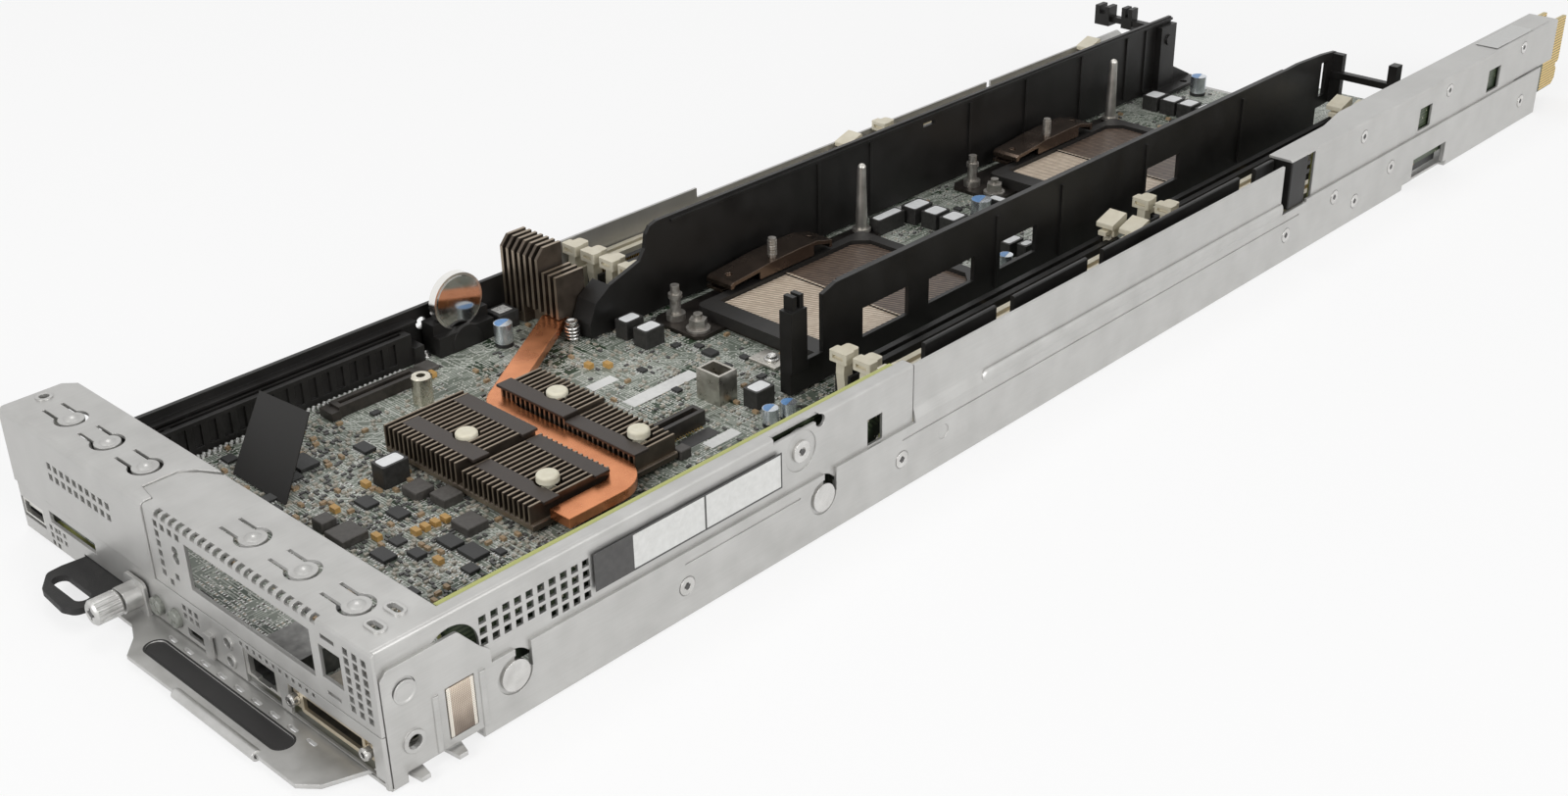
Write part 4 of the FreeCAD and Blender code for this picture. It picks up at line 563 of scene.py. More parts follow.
def threaded_stud():
    """Grey zinc studs and nuts, with fine thread lines round them and brown dirt."""
    f = Finish("threaded_stud", metallic=0.9)
    thread = lines_along(f.axes()[2], 0.8, 0.5) * (abs(f.facing()[2]) < 0.5)
    cloud = f.noise(2.0, 3, contrast=1.6)
    f.colour(f.mix(cloud, (0.26, 0.24, 0.21), (0.52, 0.50, 0.47)))
    f.rough(0.34 + 0.12 * cloud)
    f.bump(thread, 0.12, edge=0.15)
    return f.material


def satin_nickel():
    """The thumbscrew and its collar: pale satin nickel with a scored grip."""
    return cloudy("satin_nickel", dict(size=3.0, contrast=1.6),
                  (0.46, 0.455, 0.44), (0.66, 0.655, 0.64), 0.34, 0.14,
                  dict(size=0.35, detail=2, stretch=(1, 0.15, 1)), 0.05, 0.3, metallic=0.9)


# The finish that each piece of the frame takes

steel = sheet_steel()
turned = turned_steel()
node_finishes = {
    steel: ["tray", "io_panel", "blank_cover", "riser_cage", "rear_channel"],
    lever_steel(): ["cam_handle"],
    plate_steel(): ["bolster_front", "bolster_rear"],
    bar_steel(): ["spring_bar_front", "spring_bar_rear"],
    satin_nickel(): ["thumbscrew", "screw_collar"],
    turned: ["handle_pivot", "wall_screws", "shoulder_studs", "jack_screws", "board_screws"],
    port_shell(): ["usb_port", "network_port"],
    port_shell("console_shell", (0.66, 0.58, 0.44)): ["console_port"],
    black_plastic(): [
        "left_baffle", "end_block", "cell_holder", "duct_left", "duct_right", "duct_skirt"],
    socket_plastic("socket_black", (0.007, 0.007, 0.006), (0.018, 0.017, 0.016)): [
        "memory_sockets_black"],
    socket_plastic("socket_ivory", (0.70, 0.64, 0.49), (0.83, 0.78, 0.64)): [
        "memory_sockets_ivory"],
    button_lens(): ["power_button", "id_button"],
    black_plastic("slot_plastic", 0.013, 0.36): ["card_slot"],
    connector_body(): ["board_connectors"],
    black_plastic("film_black", 0.013, 0.55): ["leaning_card"],
    ivory_plastic(): [name for name in nodes if name.startswith("latches")],
    cream_pin(): ["push_pins"],
    printed_board(): ["system_board"],
    upright_board(): ["riser_board", "adapter_board_inner", "adapter_board_outer"],
    finned_bronze(): ["heatsink", "fin_stack"],
    pipe_copper(): ["heat_pipe"],
    contact_field(): ["socket_front", "socket_rear"],
    choke_block(): ["inductors"],
    can_metal(): ["capacitors"],
    mirror_cell(): ["coin_cell"],
    post_metal(): ["board_post"],
    pad_cloth(): ["contact_pad"],
    soft_rubber(): ["pull_tab"],
    threaded_stud(): ["load_studs", "corner_studs", "corner_nuts"],
}
for finish, names in node_finishes.items():
    for name in names:
        nodes[name].data.materials.clear()
        nodes[name].data.materials.append(finish)


# Stage, light and camera

def add_floor():
    """A pale floor that shows near white to the camera and keeps the shadow."""
    bpy.ops.object.select_all(action="DESELECT")
    bpy.ops.mesh.primitive_plane_add(size=8, location=(0, 0.3, cad_box[0][2] - 0.0002))
    floor = bpy.context.object
    floor.name = "floor"
    f = Finish("pale_floor", roughness=0.9)
    f.colour(f.mix(f.noise(400.0, 2), (0.90, 0.90, 0.90), (0.93, 0.93, 0.93)))
    white = f.node("ShaderNodeEmission", {}, {"Color": (1, 1, 1), "Strength": 1.0})
    surface = Level(f, f.shader.outputs[0])
    shown = f.node("ShaderNodeMixShader", {}, {0: f.seen() * 0.75, 1: surface, 2: white})
    out = f.tree.nodes["Material Output"]
    f.tree.links.new(shown.socket, out.inputs["Surface"])
    floor.data.materials.append(f.material)


def add_sky(level):
    """White to the eye and in reflections, and a plain even light."""
    world = bpy.data.worlds.new("studio")
    world.use_nodes = True
    bpy.context.scene.world = world
    sky = Shading(world.node_tree)
    background = sky.tree.nodes["Background"]
    sky.set(background.inputs["Color"], (1, 1, 1))
    sky.set(background.inputs["Strength"], level + (1.0 - level) * sky.seen())


def add_lamp(name, place, aim, size, power):
    """A square lamp at a place, turned to what it aims at."""
    bpy.ops.object.light_add(type="AREA", location=place)
    lamp = bpy.context.object
    lamp.name = name
    lamp.data.size = size
    lamp.data.energy = power
    lamp.rotation_euler = (Vector(aim) - Vector(place)).to_track_quat("-Z", "Y").to_euler()


def add_camera():
    """The photograph's own viewpoint, solved from the sled's known sizes."""
    place, turn = (0.3939, -0.18244, 0.28743), (1.08008, 0.01539, 0.75391)
    bpy.ops.object.camera_add(location=place, rotation=turn)
    camera = bpy.context.object
    camera.data.sensor_width = 36.0
    camera.data.lens = 42.55
    camera.data.clip_start = 0.01
    bpy.context.scene.camera = camera


add_camera()
add_floor()
add_sky(0.40)
add_lamp("side_lamp", (1.9, 0.2, 0.6), (0, 0.3, 0), 1.3, 24.5)
add_lamp("front_lamp", (0.2, -1.4, 1.0), (0, 0.2, 0), 0.8, 14.0)
add_lamp("top_lamp", (-0.6, 0.5, 1.6), (0, 0.3, 0), 0.5, 4.2)
bpy.context.scene.view_settings.view_transform = "Standard"


# Making pieces

def settle(name):
    """The piece just added, named, with its place, turn and size worked into its points."""
    piece = bpy.context.object
    piece.name = piece.data.name = name
    bpy.ops.object.transform_apply(location=True, rotation=True, scale=True)
    return piece


def block(name, low, high):
    """A box between two corners in millimetres, as the start of a piece."""
    bpy.ops.object.select_all(action="DESELECT")
    middle = [(a + b) / 2 * mm for a, b in zip(low, high)]
    size = [(b - a) * mm for a, b in zip(low, high)]
    bpy.ops.mesh.primitive_cube_add(size=1, location=middle, scale=size)
    return settle(name)


def cylinder(name, centre, radius, depth, sides=12, turn=(0, 0, 0)):
    """An upright round bar, turned about its middle where asked, as the start of a piece."""
    bpy.ops.object.select_all(action="DESELECT")
    bpy.ops.mesh.primitive_cylinder_add(
        vertices=sides, radius=radius * mm, depth=depth * mm,
        location=[c * mm for c in centre], rotation=turn)
    return settle(name)


def looking(axis, sign=1):
    """For pick: the faces that look along an axis, or against it."""
    return lambda normal: sign * normal[axis] > 0.9


upward, rightward, frontward = looking(2), looking(0), looking(1, -1)


def pick(piece, wanted=None):
    """Edit mode, with the faces selected whose normals are wanted, or else all."""
    bpy.ops.object.select_all(action="DESELECT")
    piece.select_set(True)
    bpy.context.view_layer.objects.active = piece
    bpy.ops.object.mode_set(mode="EDIT")
    bpy.ops.mesh.select_mode(type="FACE")
    bpy.ops.mesh.select_all(action="DESELECT")
    bpy.ops.object.mode_set(mode="OBJECT")
    for face in piece.data.polygons:
        face.select = wanted is None or wanted(face.normal)
    bpy.ops.object.mode_set(mode="EDIT")


def done():
    """Back to object mode."""
    bpy.ops.object.mode_set(mode="OBJECT")


def inset_face(piece, wanted, width, shift=(0, 0, 0)):
    """Insets the wanted faces by a width and moves what lies inside."""
    pick(piece, wanted)
    bpy.ops.mesh.inset(thickness=width * mm)
    bpy.ops.transform.translate(value=[part * mm for part in shift])
    done()


def soften(piece, width, segments=1):
    """Bevels every edge of a piece and keeps the result."""
    bpy.context.view_layer.objects.active = piece
    edge = piece.modifiers.new("edge", "BEVEL")
    edge.width = width * mm
    edge.segments = segments
    bpy.ops.object.modifier_apply(modifier="edge")


def paint(piece, *finishes):
    """Gives a piece its finishes, in the order of its faces' numbers."""
    piece.data.materials.clear()
    for finish in finishes:
        piece.data.materials.append(finish)


def carry(piece, body="sled"):
    """Says which body a piece moves with."""
    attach(piece, body)


def join(name, parts):
    """One piece of several parts, under a name of its own."""
    bpy.ops.object.select_all(action="DESELECT")
    for part in parts:
        part.select_set(True)
    bpy.context.view_layer.objects.active = parts[0]
    if len(parts) > 1:
        bpy.ops.object.join()
    parts[0].name = parts[0].data.name = name
    return parts[0]


def spread(sample, name, places):
    """Copies a sample to each place (x, y, z, turn), joins the copies and drops the sample."""
    sample.name = sample.data.name = name + "_sample"
    copies = []
    for x, y, z, turn in places:
        copy = sample.copy()
        copy.data = sample.data.copy()
        bpy.context.collection.objects.link(copy)
        copy.location = (x * mm, y * mm, z * mm)
        copy.rotation_euler = (0, 0, turn)
        copies.append(copy)
    joined = join(name, copies)
    bpy.ops.object.transform_apply(location=True, rotation=True, scale=True)
    bpy.data.objects.remove(sample)
    return joined


# Small parts on the system board

def part_finish(name, first, second, roughness=0.45, metallic=0.0):
    """A small part's plain finish between two colours."""
    return cloudy(name, dict(size=1.5, detail=2, contrast=1.8), first, second,
                  roughness - 0.08, 0.16, dict(size=0.3, detail=2), 0.02, metallic=metallic)


tin = part_finish("tin", (0.66, 0.66, 0.64), (0.86, 0.86, 0.84), 0.28, 0.3)
tan_ceramic = part_finish("tan_ceramic", (0.30, 0.20, 0.11), (0.46, 0.33, 0.20))
grey_ceramic = part_finish("grey_ceramic", (0.05, 0.05, 0.05), (0.12, 0.115, 0.11))
amber_block = part_finish("amber_block", (0.48, 0.27, 0.07), (0.62, 0.38, 0.13))
pale_ceramic = part_finish("pale_ceramic", (0.30, 0.27, 0.22), (0.52, 0.49, 0.42))
dull_grey = part_finish("dull_grey", (0.055, 0.050, 0.045), (0.105, 0.098, 0.090), 0.55, 0.2)
chip_black = part_finish("chip_black", (0.012, 0.012, 0.012), (0.03, 0.03, 0.029), 0.5)
print_white = part_finish("print_white", (0.78, 0.78, 0.76), (0.88, 0.88, 0.86), 0.5)


def end_capped(name, length, width, height, body):
    """A chip part: ceramic middle with a raised tinned cap at each end."""
    piece = block(name, (-length / 2, -width / 2, 0), (length / 2, width / 2, height))
    pick(piece)
    for side in (-1, 1):
        bpy.ops.mesh.select_all(action="SELECT")
        bpy.ops.mesh.bisect(plane_co=(side * length * 0.3 * mm, 0, 0), plane_no=(1, 0, 0))
    done()
    for face in piece.data.polygons:
        face.material_index = int(abs(face.center.x) > length * 0.3 * mm)
    paint(piece, body, tin)
    return piece


def legged_chip(name, length, width, height, legs):
    """A small chip with a bevelled black body and tinned feet along two sides."""
    body = block(name, (-length / 2, -width / 2, 0.15), (length / 2, width / 2, height))
    soften(body, 0.15)
    paint(body, chip_black)
    feet = [body]
    pitch = length / legs
    for side in (-1, 1):
        for count in range(legs):
            x = (count + 0.5) * pitch - length / 2
            low, high = sorted((side * (width / 2 - 0.1), side * (width / 2 + 0.75)))
            foot = block("foot", (x - pitch * 0.2, low, 0), (x + pitch * 0.2, high, 0.3))
            pick(foot, looking(1, side))
            bpy.ops.transform.translate(value=(0, 0, -0.1 * mm))
            done()
            paint(foot, tin)
            feet.append(foot)
    return join(name, feet)


strip_places = [
    ("long_board_strip", (-7.2, 162.4), (-1.6, 192.2)),
    ("short_board_strip", (-24.0, 161.2), (-19.6, 172.2)),
    ("duct_side_strip", (-46.4, 342.4), (-41.6, 355.0)),
    ("white_patch", (31.4, 160.4), (36.0, 173.2)),
    ("dark_patch", (25.4, 156.0), (30.8, 169.0)),
]
# Kind, x, y, length, width and height of each chip that can be told apart in the photograph
hand_chips = [
    ("dull", -9.6, 83.2, 7.0, 7.0, 3.0),
    ("dull", -0.2, 86.4, 7.0, 7.0, 3.0),
    ("dull", 16.8, 81.6, 8.0, 7.6, 2.8),
    ("legged", -16.2, 69.4, 6.4, 4.8, 1.3),
    ("legged", -4.4, 72.1, 6.4, 4.8, 1.3),
    ("legged", 19.3, 72.6, 7.0, 5.0, 1.4),
    ("legged", 28.4, 73.6, 8.0, 5.6, 1.5),
    ("dull", -5.0, 54.6, 9.0, 9.0, 2.6),
    ("dull", -14.6, 53.8, 5.2, 5.2, 3.4),
    ("legged", 10.9, 55.7, 7.0, 4.8, 1.4),
    ("legged", 17.4, 62.4, 5.0, 3.8, 1.5),
    ("legged", -43.7, 88.3, 6.6, 4.4, 1.3),
    ("dull", -73.6, 134.4, 6.4, 6.2, 1.5),
    ("dull", 32.6, 150.6, 4.2, 4.4, 3.2),
    ("legged", -50.0, 70.0, 9.0, 7.0, 1.6),
    ("legged", -48.0, 150.0, 6.0, 4.0, 1.4),
    ("legged", -10.0, 205.0, 5.0, 4.0, 1.4),
]
amber_places = [
    (7.6, 69.4), (7.7, 72.6), (8.0, 76.0), (8.3, 79.4), (-25.2, 75.6), (-23.0, 79.0),
    (-68.0, 132.6), (-33.6, 171.4), (-29.2, 176.0), (-20.0, 61.0), (24.6, 64.4), (1.6, 60.2),
]


class FreeBoard:
    """Finds bare spots on the board by looking down past the other pieces."""

    def __init__(self, seed):
        self.rng = random.Random(seed)
        self.view = bpy.context.evaluated_depsgraph_get()
        self.taken = []

    def bare(self, x, y, reach, height):
        for dx, dy in ((0, 0), (-reach, -reach), (reach, -reach), (-reach, reach), (reach, reach)):
            start = Vector(((x + dx) * mm, (y + dy) * mm, (board_top + height) * mm))
            hit, _, _, _, thing, _ = bpy.context.scene.ray_cast(
                self.view, start, Vector((0, 0, -1)), distance=0.02)
            if not hit or thing.name != nodes["system_board"].name:
                return False
        if any(low[0] - reach < x < high[0] + reach and low[1] - reach < y < high[1] + reach
               for name, low, high in strip_places):
            return False
        return all((x - a) ** 2 + (y - b) ** 2 > (reach + r) ** 2 for a, b, r in self.taken)

    def spots(self, count, area, reach, height):
        """Up to count bare spots in area (x0, x1, y0, y1)."""
        x0, x1, y0, y1 = area
        found = []
        for _ in range(count * 4):
            if len(found) >= count:
                break
            x = round(self.rng.uniform(x0, x1) / 0.7) * 0.7
            y = round(self.rng.uniform(y0, y1) / 0.7) * 0.7
            if not self.bare(x, y, reach, height):
                continue
            self.taken.append((x, y, reach))
            found.append((x, y, board_top, self.rng.choice((0, math.pi / 2))))
        return found


free = FreeBoard(7)
free.taken += [(x, y, max(sides) * 0.55) for kind, x, y, *sides, height in hand_chips]
free.taken += [(x, y, 1.8) for x, y in amber_places]
whole = (-80.0, 76.0, 26.0, 545.0)
front = (-72.0, 40.0, 26.0, 92.0)
middle = (-60.0, 40.0, 90.0, 220.0)

# Each row: name, maker, what the maker takes, count, area, and the reach and height kept clear
small_parts = [
    ("square_chips", legged_chip, (4.4, 4.0, 1.1, 4), 16, front, 2.9, 1.3),
    ("board_chips", legged_chip, (3.2, 2.6, 1.0, 3), 60, whole, 2.1, 1.2),
    ("tan_parts", end_capped, (2.0, 1.25, 1.0, tan_ceramic), 50, front, 1.0, 1.2),
    ("tan_parts_rear", end_capped, (2.0, 1.25, 1.0, tan_ceramic), 110, whole, 1.0, 1.2),
    ("pale_parts", end_capped, (1.4, 0.9, 0.6, pale_ceramic), 420, front, 0.8, 0.7),
    ("grey_parts", end_capped, (1.6, 0.8, 0.5, grey_ceramic), 420, front, 0.75, 0.7),
    ("pale_parts_middle", end_capped, (1.4, 0.9, 0.6, pale_ceramic), 380, middle, 0.8, 0.7),
    ("grey_parts_rear", end_capped, (1.6, 0.8, 0.5, grey_ceramic), 600, whole, 0.75, 0.7),
]
for name, make, sizes, count, area, reach, height in small_parts:
    places = free.spots(count, area, reach, height)
    carry(spread(make(name, *sizes), name, places))

amber = end_capped("amber", 3.0, 2.0, 1.7, amber_block)
places = [(x, y, board_top, 0) for x, y in amber_places]
carry(spread(amber, "amber_blocks", places))
for number, (kind, x, y, length, width, height) in enumerate(hand_chips):
    if kind == "legged":
        chip = legged_chip("chip", length, width, height, int(width + 2))
    else:
        chip = block("chip", (-length / 2, -width / 2, 0), (length / 2, width / 2, height))
        inset_face(chip, upward, 0.4, (0, 0, 0.12))
        soften(chip, 0.2)
        paint(chip, dull_grey)
    carry(spread(chip, "board_chip_%02d" % number, [(x, y, board_top, 0)]))


# Strips and plates without any words

def plate(name, low, high, finish):
    """A thin plate with eased edges."""
    piece = block(name, low, high)
    soften(piece, 0.03)
    paint(piece, finish)
    return piece


def board_strips():
    """Pale blank strips stuck on the board, and the two patches by its right edge."""
    z0, z1 = board_top + 0.01, board_top + 0.13
    for name, low, high in strip_places:
        finish = dark_card_and_painted_shade if name == "dark_patch" else print_white
        carry(plate(name, (*low, z0), (*high, z1), finish))


def wall_plates():
    """Two framed blank panels on the cage's long wall and a blank tag at the rear."""
    tag = plate("rear_tag", (76.6, 586.0, 40.66), (86.4, 622.0, 40.76), panel_white)
    carry(tag)
    low, high = (side_face, 66.8, 23.9), (side_face + 0.08, 135.7, 35.2)
    back = plate("panel_border", low, high, dark_card_and_painted_shade)
    carry(back)
    for name, y0, y1 in (("front_panel", 80.2, 105.7), ("rear_panel", 106.4, 135.1)):
        panel = block(name, (side_face + 0.05, y0, 24.5), (side_face + 0.14, y1, 34.6))
        inset_face(panel, rightward, 0.5, (0.03, 0, 0))
        soften(panel, 0.02)
        paint(panel, panel_white)
        carry(panel)


panel_white = part_finish("panel_white", (0.50, 0.50, 0.485), (0.58, 0.58, 0.565), 0.4)
# Dark grey: the real colour of the panel border and the dark board patch, and painted shade in the
# screw sockets.
dark_card_and_painted_shade = part_finish("dark_card_and_painted_shade", (0.035, 0.034, 0.033), (0.06, 0.058, 0.056), 0.5)
board_strips()
wall_plates()


# The finned block on the board, in place of the plain solid

sink_front, sink_rear = 91.0, 148.0
gap_front, gap_rear = 121.4, 131.4
fin_floor, left_top, right_top = 9.2, 16.4, 15.0
fin_pitch, fin_wall = 2.3, 0.85
pin_places = [(x, y) for x in (-12.2, 25.3) for y in (104.3, 140.1)]
pin_reach = 4.2


def fin_row(name, x0, x1, y0, y1, top):
    """Thin upright fins across x, each with its top corners eased."""
    fin = block(name, (x0, y0, fin_floor - 0.3), (x0 + fin_wall, y1, top))
    soften(fin, 0.12)
    repeat = fin.modifiers.new("repeat", "ARRAY")
    repeat.use_relative_offset = False
    repeat.use_constant_offset = True
    repeat.constant_offset_displace = (fin_pitch * mm, 0, 0)
    repeat.count = int((x1 - x0 - fin_wall) / fin_pitch) + 1
    bpy.ops.object.modifier_apply(modifier="repeat")
    return fin


def cut_away(piece, cutter):
    """Takes the cutter's room out of a piece and drops the cutter."""
    bpy.context.view_layer.objects.active = piece
    bite = piece.modifiers.new("bite", "BOOLEAN")
    bite.object = cutter
    bite.operation = "DIFFERENCE"
    bite.solver = "EXACT"
    bpy.ops.object.modifier_apply(modifier="bite")
    bpy.data.objects.remove(cutter)


def near_pin(row, x, y):
    """Whether a row of fins or a bar reaches into a push pin's room."""
    low, high = row.bound_box[0], row.bound_box[6]
    return all(low[k] < (middle + pin_reach) * mm and high[k] > (middle - pin_reach) * mm
               for k, middle in enumerate((x, y)))


def finned_block():
    """The heatsink's base with four rows of fins and the flat bars across them."""
    base = block("sink_base", (-36.0, sink_front, 7.0), (34.0, sink_rear, fin_floor))
    soften(base, 0.3)
    rows = [
        fin_row("left_front_fins", -36.0, 1.4, sink_front, gap_front, left_top),
        fin_row("right_front_fins", 2.0, 34.0, sink_front, gap_front, right_top),
        fin_row("left_rear_fins", -29.6, 1.4, gap_rear, sink_rear, left_top),
        fin_row("right_rear_fins", 2.0, 34.0, gap_rear, sink_rear, right_top),
    ]
    bars = [
        ("front_left_bar", -32.6, 1.9, 95.6, 101.8, left_top),
        ("rear_left_bar", -32.6, 0.9, 115.2, 121.2, left_top),
        ("front_right_bar", 2.6, 34.0, 95.4, 101.2, right_top),
        ("rear_right_bar", 2.2, 34.0, 115.0, 120.6, right_top),
        ("far_left_bar", -31.0, 1.4, gap_rear - 0.6, 137.0, left_top),
        ("far_right_bar", 1.8, 33.4, gap_rear - 0.6, 136.8, right_top),
    ]
    for name, x0, x1, y0, y1, top in bars:
        bar = block(name, (x0, y0, top - 0.9), (x1, y1, top + 0.06))
        soften(bar, 0.2, 2)
        paint(bar, bar_brown)
        rows.append(bar)
    for x, y in pin_places:
        for row in rows:
            if near_pin(row, x, y):
                cut_away(row, cylinder("pin_room", (x, y, 15.0), pin_reach, 11.0, 24))
    for row in rows:
        if not row.data.materials:
            paint(row, bronze)
    paint(base, bronze)
    sink = join("finned_block", [base] + rows)
    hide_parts("heatsink")
    carry(sink)


bronze = nodes["fin_stack"].data.materials[0]
bar_brown = part_finish("bar_brown", (0.030, 0.022, 0.018), (0.052, 0.040, 0.033), 0.42, 0.3)
finned_block()


# Parts that stand by themselves on the board

def solder_pins():
    """Two rows of tinned pin ends beside the long card slot."""
    pin = cylinder("pin_end", (0, 0, 0.6), 0.5, 1.2, 8)
    soften(pin, 0.1)
    paint(pin, tin)
    places = [(-77.9 + 1.1 * (k % 2), 33.0 + 1.0 * k, board_top, 0) for k in range(96)]
    carry(spread(pin, "slot_pins", places))


def header_feet():
    """Gold feet down the side of the low comb connector."""
    foot = block("foot", (0, -0.22, 0), (1.1, 0.22, 0.35))
    pick(foot, rightward)
    bpy.ops.transform.translate(value=(0, 0, -0.1 * mm))
    done()
    paint(foot, gold)
    places = [(23.4, 149.6 + 1.27 * k, board_top, 0) for k in range(15)]
    carry(spread(foot, "comb_feet", places))


def spring_screw(x, y):
    """A captive screw in a coil spring near the fin stack."""
    parts = []
    for k in range(4):
        bpy.ops.object.select_all(action="DESELECT")
        bpy.ops.mesh.primitive_torus_add(
            location=(x * mm, y * mm, (7.2 + 1.25 * k) * mm), major_radius=2.3 * mm,
            minor_radius=0.42 * mm, major_segments=24, minor_segments=8)
        coil = settle("coil")
        pick(coil)
        bpy.ops.transform.resize(value=(1, 1, 0.9))
        done()
        parts.append(coil)
    head = cylinder("head", (x, y, 12.6), 2.1, 1.3, 24)
    inset_face(head, upward, 0.9, (0, 0, -0.7))
    soften(head, 0.15)
    shank = cylinder("shank", (x, y, 9.0), 1.2, 6.3, 16)
    soften(shank, 0.1)
    parts += [head, shank]
    for part in parts:
        paint(part, turned)
    carry(join("spring_screw", parts))


def washer_screw(name, x, y, floor, radius=2.1):
    """A low round head with a socket on a wider washer."""
    washer = cylinder(name, (x, y, floor + 0.25), radius * 1.35, 0.5, 28)
    pick(washer, upward)
    bpy.ops.mesh.inset(thickness=radius * 0.35 * mm)
    bpy.ops.mesh.extrude_region_move(TRANSFORM_OT_translate={"value": (0, 0, 1.1 * mm)})
    bpy.ops.transform.resize(value=(0.86, 0.86, 1))
    bpy.ops.mesh.inset(thickness=radius * 0.4 * mm)
    bpy.ops.transform.translate(value=(0, 0, -0.6 * mm))
    done()
    soften(washer, 0.1)
    paint(washer, turned)
    carry(washer)


def cell_side_box():
    """The black box with a bright top plate between the cell and the fin stack."""
    side_box = block("cell_side_box", (-84.6, 168.6, board_top), (-76.4, 177.2, 12.0))
    inset_face(side_box, upward, 1.5, (0, 0, 0.15))
    paint(side_box, chip_black, tin)
    for face in side_box.data.polygons:
        face.material_index = int(face.normal.z > 0.9 and face.center.z > 12.1 * mm)
    soften(side_box, 0.2)
    carry(side_box)


def flat_patches(name, axis, least):
    """Boxes round a node's faces that look along an axis beyond a place, touching ones merged."""
    boxes = []
    mesh = nodes[name].data
    for face in mesh.polygons:
        if face.normal[axis] < 0.95 or face.center[axis] < least * mm:
            continue
        corners = [mesh.vertices[index].co / mm for index in face.vertices]
        low = [min(corner[k] for corner in corners) for k in range(3)]
        high = [max(corner[k] for corner in corners) for k in range(3)]
        sides = [k for k in range(3) if k != axis]
        near = [box for box in boxes
                if all(box[0][k] - 0.1 < high[k] and low[k] - 0.1 < box[1][k] for k in sides)]
        for box in near:
            boxes.remove(box)
            low = [min(pair) for pair in zip(low, box[0])]
            high = [max(pair) for pair in zip(high, box[1])]
        boxes.append((low, high))
    return boxes


def rounded_tile(name, x0, x1, y0, y1, z, corner):
    """A thin plate with round corners."""
    bpy.ops.object.select_all(action="DESELECT")
    middle = ((x0 + x1) / 2 * mm, (y0 + y1) / 2 * mm, z * mm)
    bpy.ops.mesh.primitive_plane_add(size=1, location=middle)
    bpy.context.object.scale = ((x1 - x0) * mm, (y1 - y0) * mm, 1)
    tile = settle(name)
    pick(tile)
    bpy.ops.mesh.bevel(offset=corner * mm, offset_type="OFFSET", segments=3, affect="VERTICES")
    bpy.ops.mesh.extrude_region_move(TRANSFORM_OT_translate={"value": (0, 0, 0.07 * mm)})
    bpy.ops.mesh.select_all(action="SELECT")
    bpy.ops.mesh.normals_make_consistent(inside=False)
    done()
    return tile


def choke_tops():
    """A pale patch with round corners on each inductor."""
    tiles = []
    rim = 0.8
    for low, high in flat_patches("inductors", 2, 8.0):
        if high[0] - low[0] > 3.0 and high[1] - low[1] > 3.0:
            tile = rounded_tile(
                "patch", low[0] + rim, high[0] - rim, low[1] + rim, high[1] - rim, high[2], 1.0)
            paint(tile, patch_white)
            tiles.append(tile)
    carry(join("choke_tops", tiles))


def can_marks():
    """A blue half on each capacitor's top."""
    marks = []
    for low, high in flat_patches("capacitors", 2, 8.0):
        reach = (high[0] - low[0]) / 2
        if reach > 1.5:
            x, y = (low[0] + high[0]) / 2, (low[1] + high[1]) / 2
            mark = cylinder("mark", (x, y, high[2] + 0.03), reach * 0.92, 0.06, 24)
            pick(mark)
            bpy.ops.mesh.bisect(
                plane_co=((x + reach * 0.15) * mm, y * mm, 0), plane_no=(1, 0.3, 0),
                use_fill=True, clear_outer=True)
            done()
            paint(mark, mark_blue)
            marks.append(mark)
    carry(join("can_marks", marks))


def screw_socket_shades():
    """A dark disc in each wall screw's head: painted shade in its socket."""
    # The disc's dark grey is painted shade, standing in for the depth of the socket.
    socket_shade_disc = cylinder("socket_shade_disc", (0.02, 0, 0), 1.0, 0.04, 6, (0, math.pi / 2, 0))
    inset_face(socket_shade_disc, rightward, 0.25)
    paint(socket_shade_disc, dark_card_and_painted_shade)
    places = [(high[0] + 0.02, (low[1] + high[1]) / 2, (low[2] + high[2]) / 2, 0)
              for low, high in flat_patches("wall_screws", 0, 80.0) if high[1] - low[1] > 1.5]
    carry(spread(socket_shade_disc, "screw_socket_shades", places))


def thumbscrew_socket_shade():
    """A dark disc in the thumbscrew's face: painted shade in its socket, which turns with it."""
    # The disc's dark grey is painted shade in the socket.
    socket_shade_disc = cylinder("thumbscrew_socket_shade", (-21.4, -15.01, 8.2), 1.3, 0.06, 6, (math.pi / 2, 0, 0))
    inset_face(socket_shade_disc, frontward, 0.3)
    paint(socket_shade_disc, dark_card_and_painted_shade)
    carry(socket_shade_disc, "retaining_screw")


def wall_bead():
    """The round-nosed bead pressed along the tall wall, over its step."""
    bead = cylinder("wall_bead", (88.4, 316.9, 22.6), 2.5, 177.4, 24, (math.pi / 2, 0, 0))
    pick(bead, frontward)
    for reach, share in ((1.0, 0.92), (0.8, 0.8), (0.5, 0.6)):
        bpy.ops.mesh.extrude_region_move(TRANSFORM_OT_translate={"value": (0, -reach * mm, 0)})
        bpy.ops.transform.resize(value=(share, 1, share))
    bpy.ops.mesh.select_all(action="SELECT")
    bpy.ops.transform.resize(value=(0.42, 1, 1))
    done()
    bpy.ops.object.shade_smooth_by_angle(angle=math.radians(40))
    paint(bead, steel)
    carry(bead)


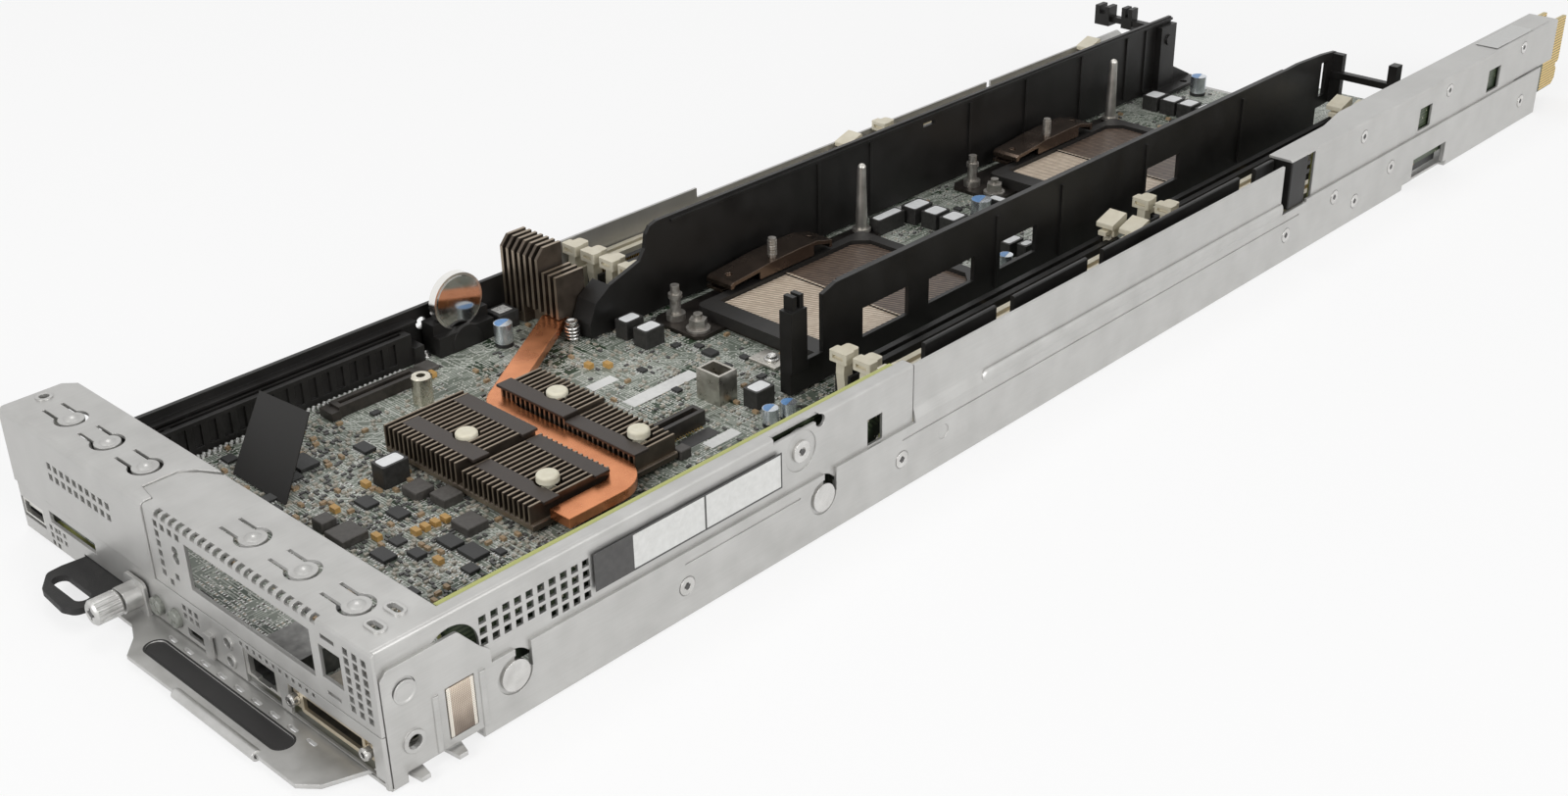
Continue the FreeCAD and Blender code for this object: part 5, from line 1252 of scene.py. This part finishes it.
def ear_cup():
    """The shallow pressed cup with its raised rim near the front of the right ear."""
    cup = cylinder("ear_cup", (89.05, 7.8, 25.8), 3.3, 0.3, 32, (0, math.pi / 2, 0))
    pick(cup, rightward)
    bpy.ops.mesh.inset(thickness=0.45 * mm)
    bpy.ops.mesh.inset(thickness=0.55 * mm)
    bpy.ops.transform.translate(value=(-0.16 * mm, 0, 0))
    done()
    soften(cup, 0.06)
    paint(cup, steel)
    carry(cup)


def notch_liner():
    """The dark strip with an amber part that shows in the notch near the rear."""
    strip = block("notch_liner", (82.6, 512.0, 2.4), (84.3, 543.0, 13.0))
    soften(strip, 0.2)
    paint(strip, chip_black)
    part = block("notch_part", (84.2, 517.0, 5.6), (84.9, 523.0, 8.6))
    inset_face(part, rightward, 0.4)
    soften(part, 0.1)
    paint(part, amber_block)
    carry(join("notch_liner", [strip, part]))


def pin_header():
    """A low dark strip with upright gold pins beside the comb connector."""
    strip = block("strip", (14.6, 150.2, board_top), (17.7, 169.4, 7.9))
    soften(strip, 0.15)
    paint(strip, chip_black)
    pin = block("pin", (-0.3, -0.3, 0), (0.3, 0.3, 1.1))
    soften(pin, 0.12)
    paint(pin, gold)
    places = [(15.4 + 1.4 * (k % 2), 150.9 + 1.27 * (k // 2), 7.9, 0) for k in range(30)]
    carry(join("pin_header", [strip, spread(pin, "header_pins", places)]))


def corner_plate():
    """The bright plate corner with its screw by the front guide post."""
    bracket = block("corner_plate", (2.6, 210.4, board_top), (15.0, 219.4, 7.0))
    inset_face(bracket, upward, 0.5)
    soften(bracket, 0.3, 2)
    paint(bracket, shell_steel)
    carry(bracket)
    washer_screw("corner_plate_screw", 9.4, 214.8, 7.0, 1.9)


patch_white = part_finish("patch_white", (0.80, 0.81, 0.81), (0.90, 0.91, 0.91), 0.4)
mark_blue = part_finish("mark_blue", (0.10, 0.24, 0.50), (0.18, 0.36, 0.66), 0.35)
shell_steel = part_finish("shell_steel", (0.42, 0.40, 0.36), (0.62, 0.60, 0.55), 0.3, 0.8)
choke_tops()
can_marks()
wall_bead()
ear_cup()
notch_liner()
screw_socket_shades()
thumbscrew_socket_shade()
corner_plate()
gold = part_finish("contact_gold", (0.62, 0.44, 0.15), (0.80, 0.60, 0.25), 0.3, 0.9)
solder_pins()
header_feet()
spring_screw(-53.4, 181.6)
washer_screw("wall_side_screw", -81.6, 140.2, board_top, 1.5)
pin_header()
cell_side_box()
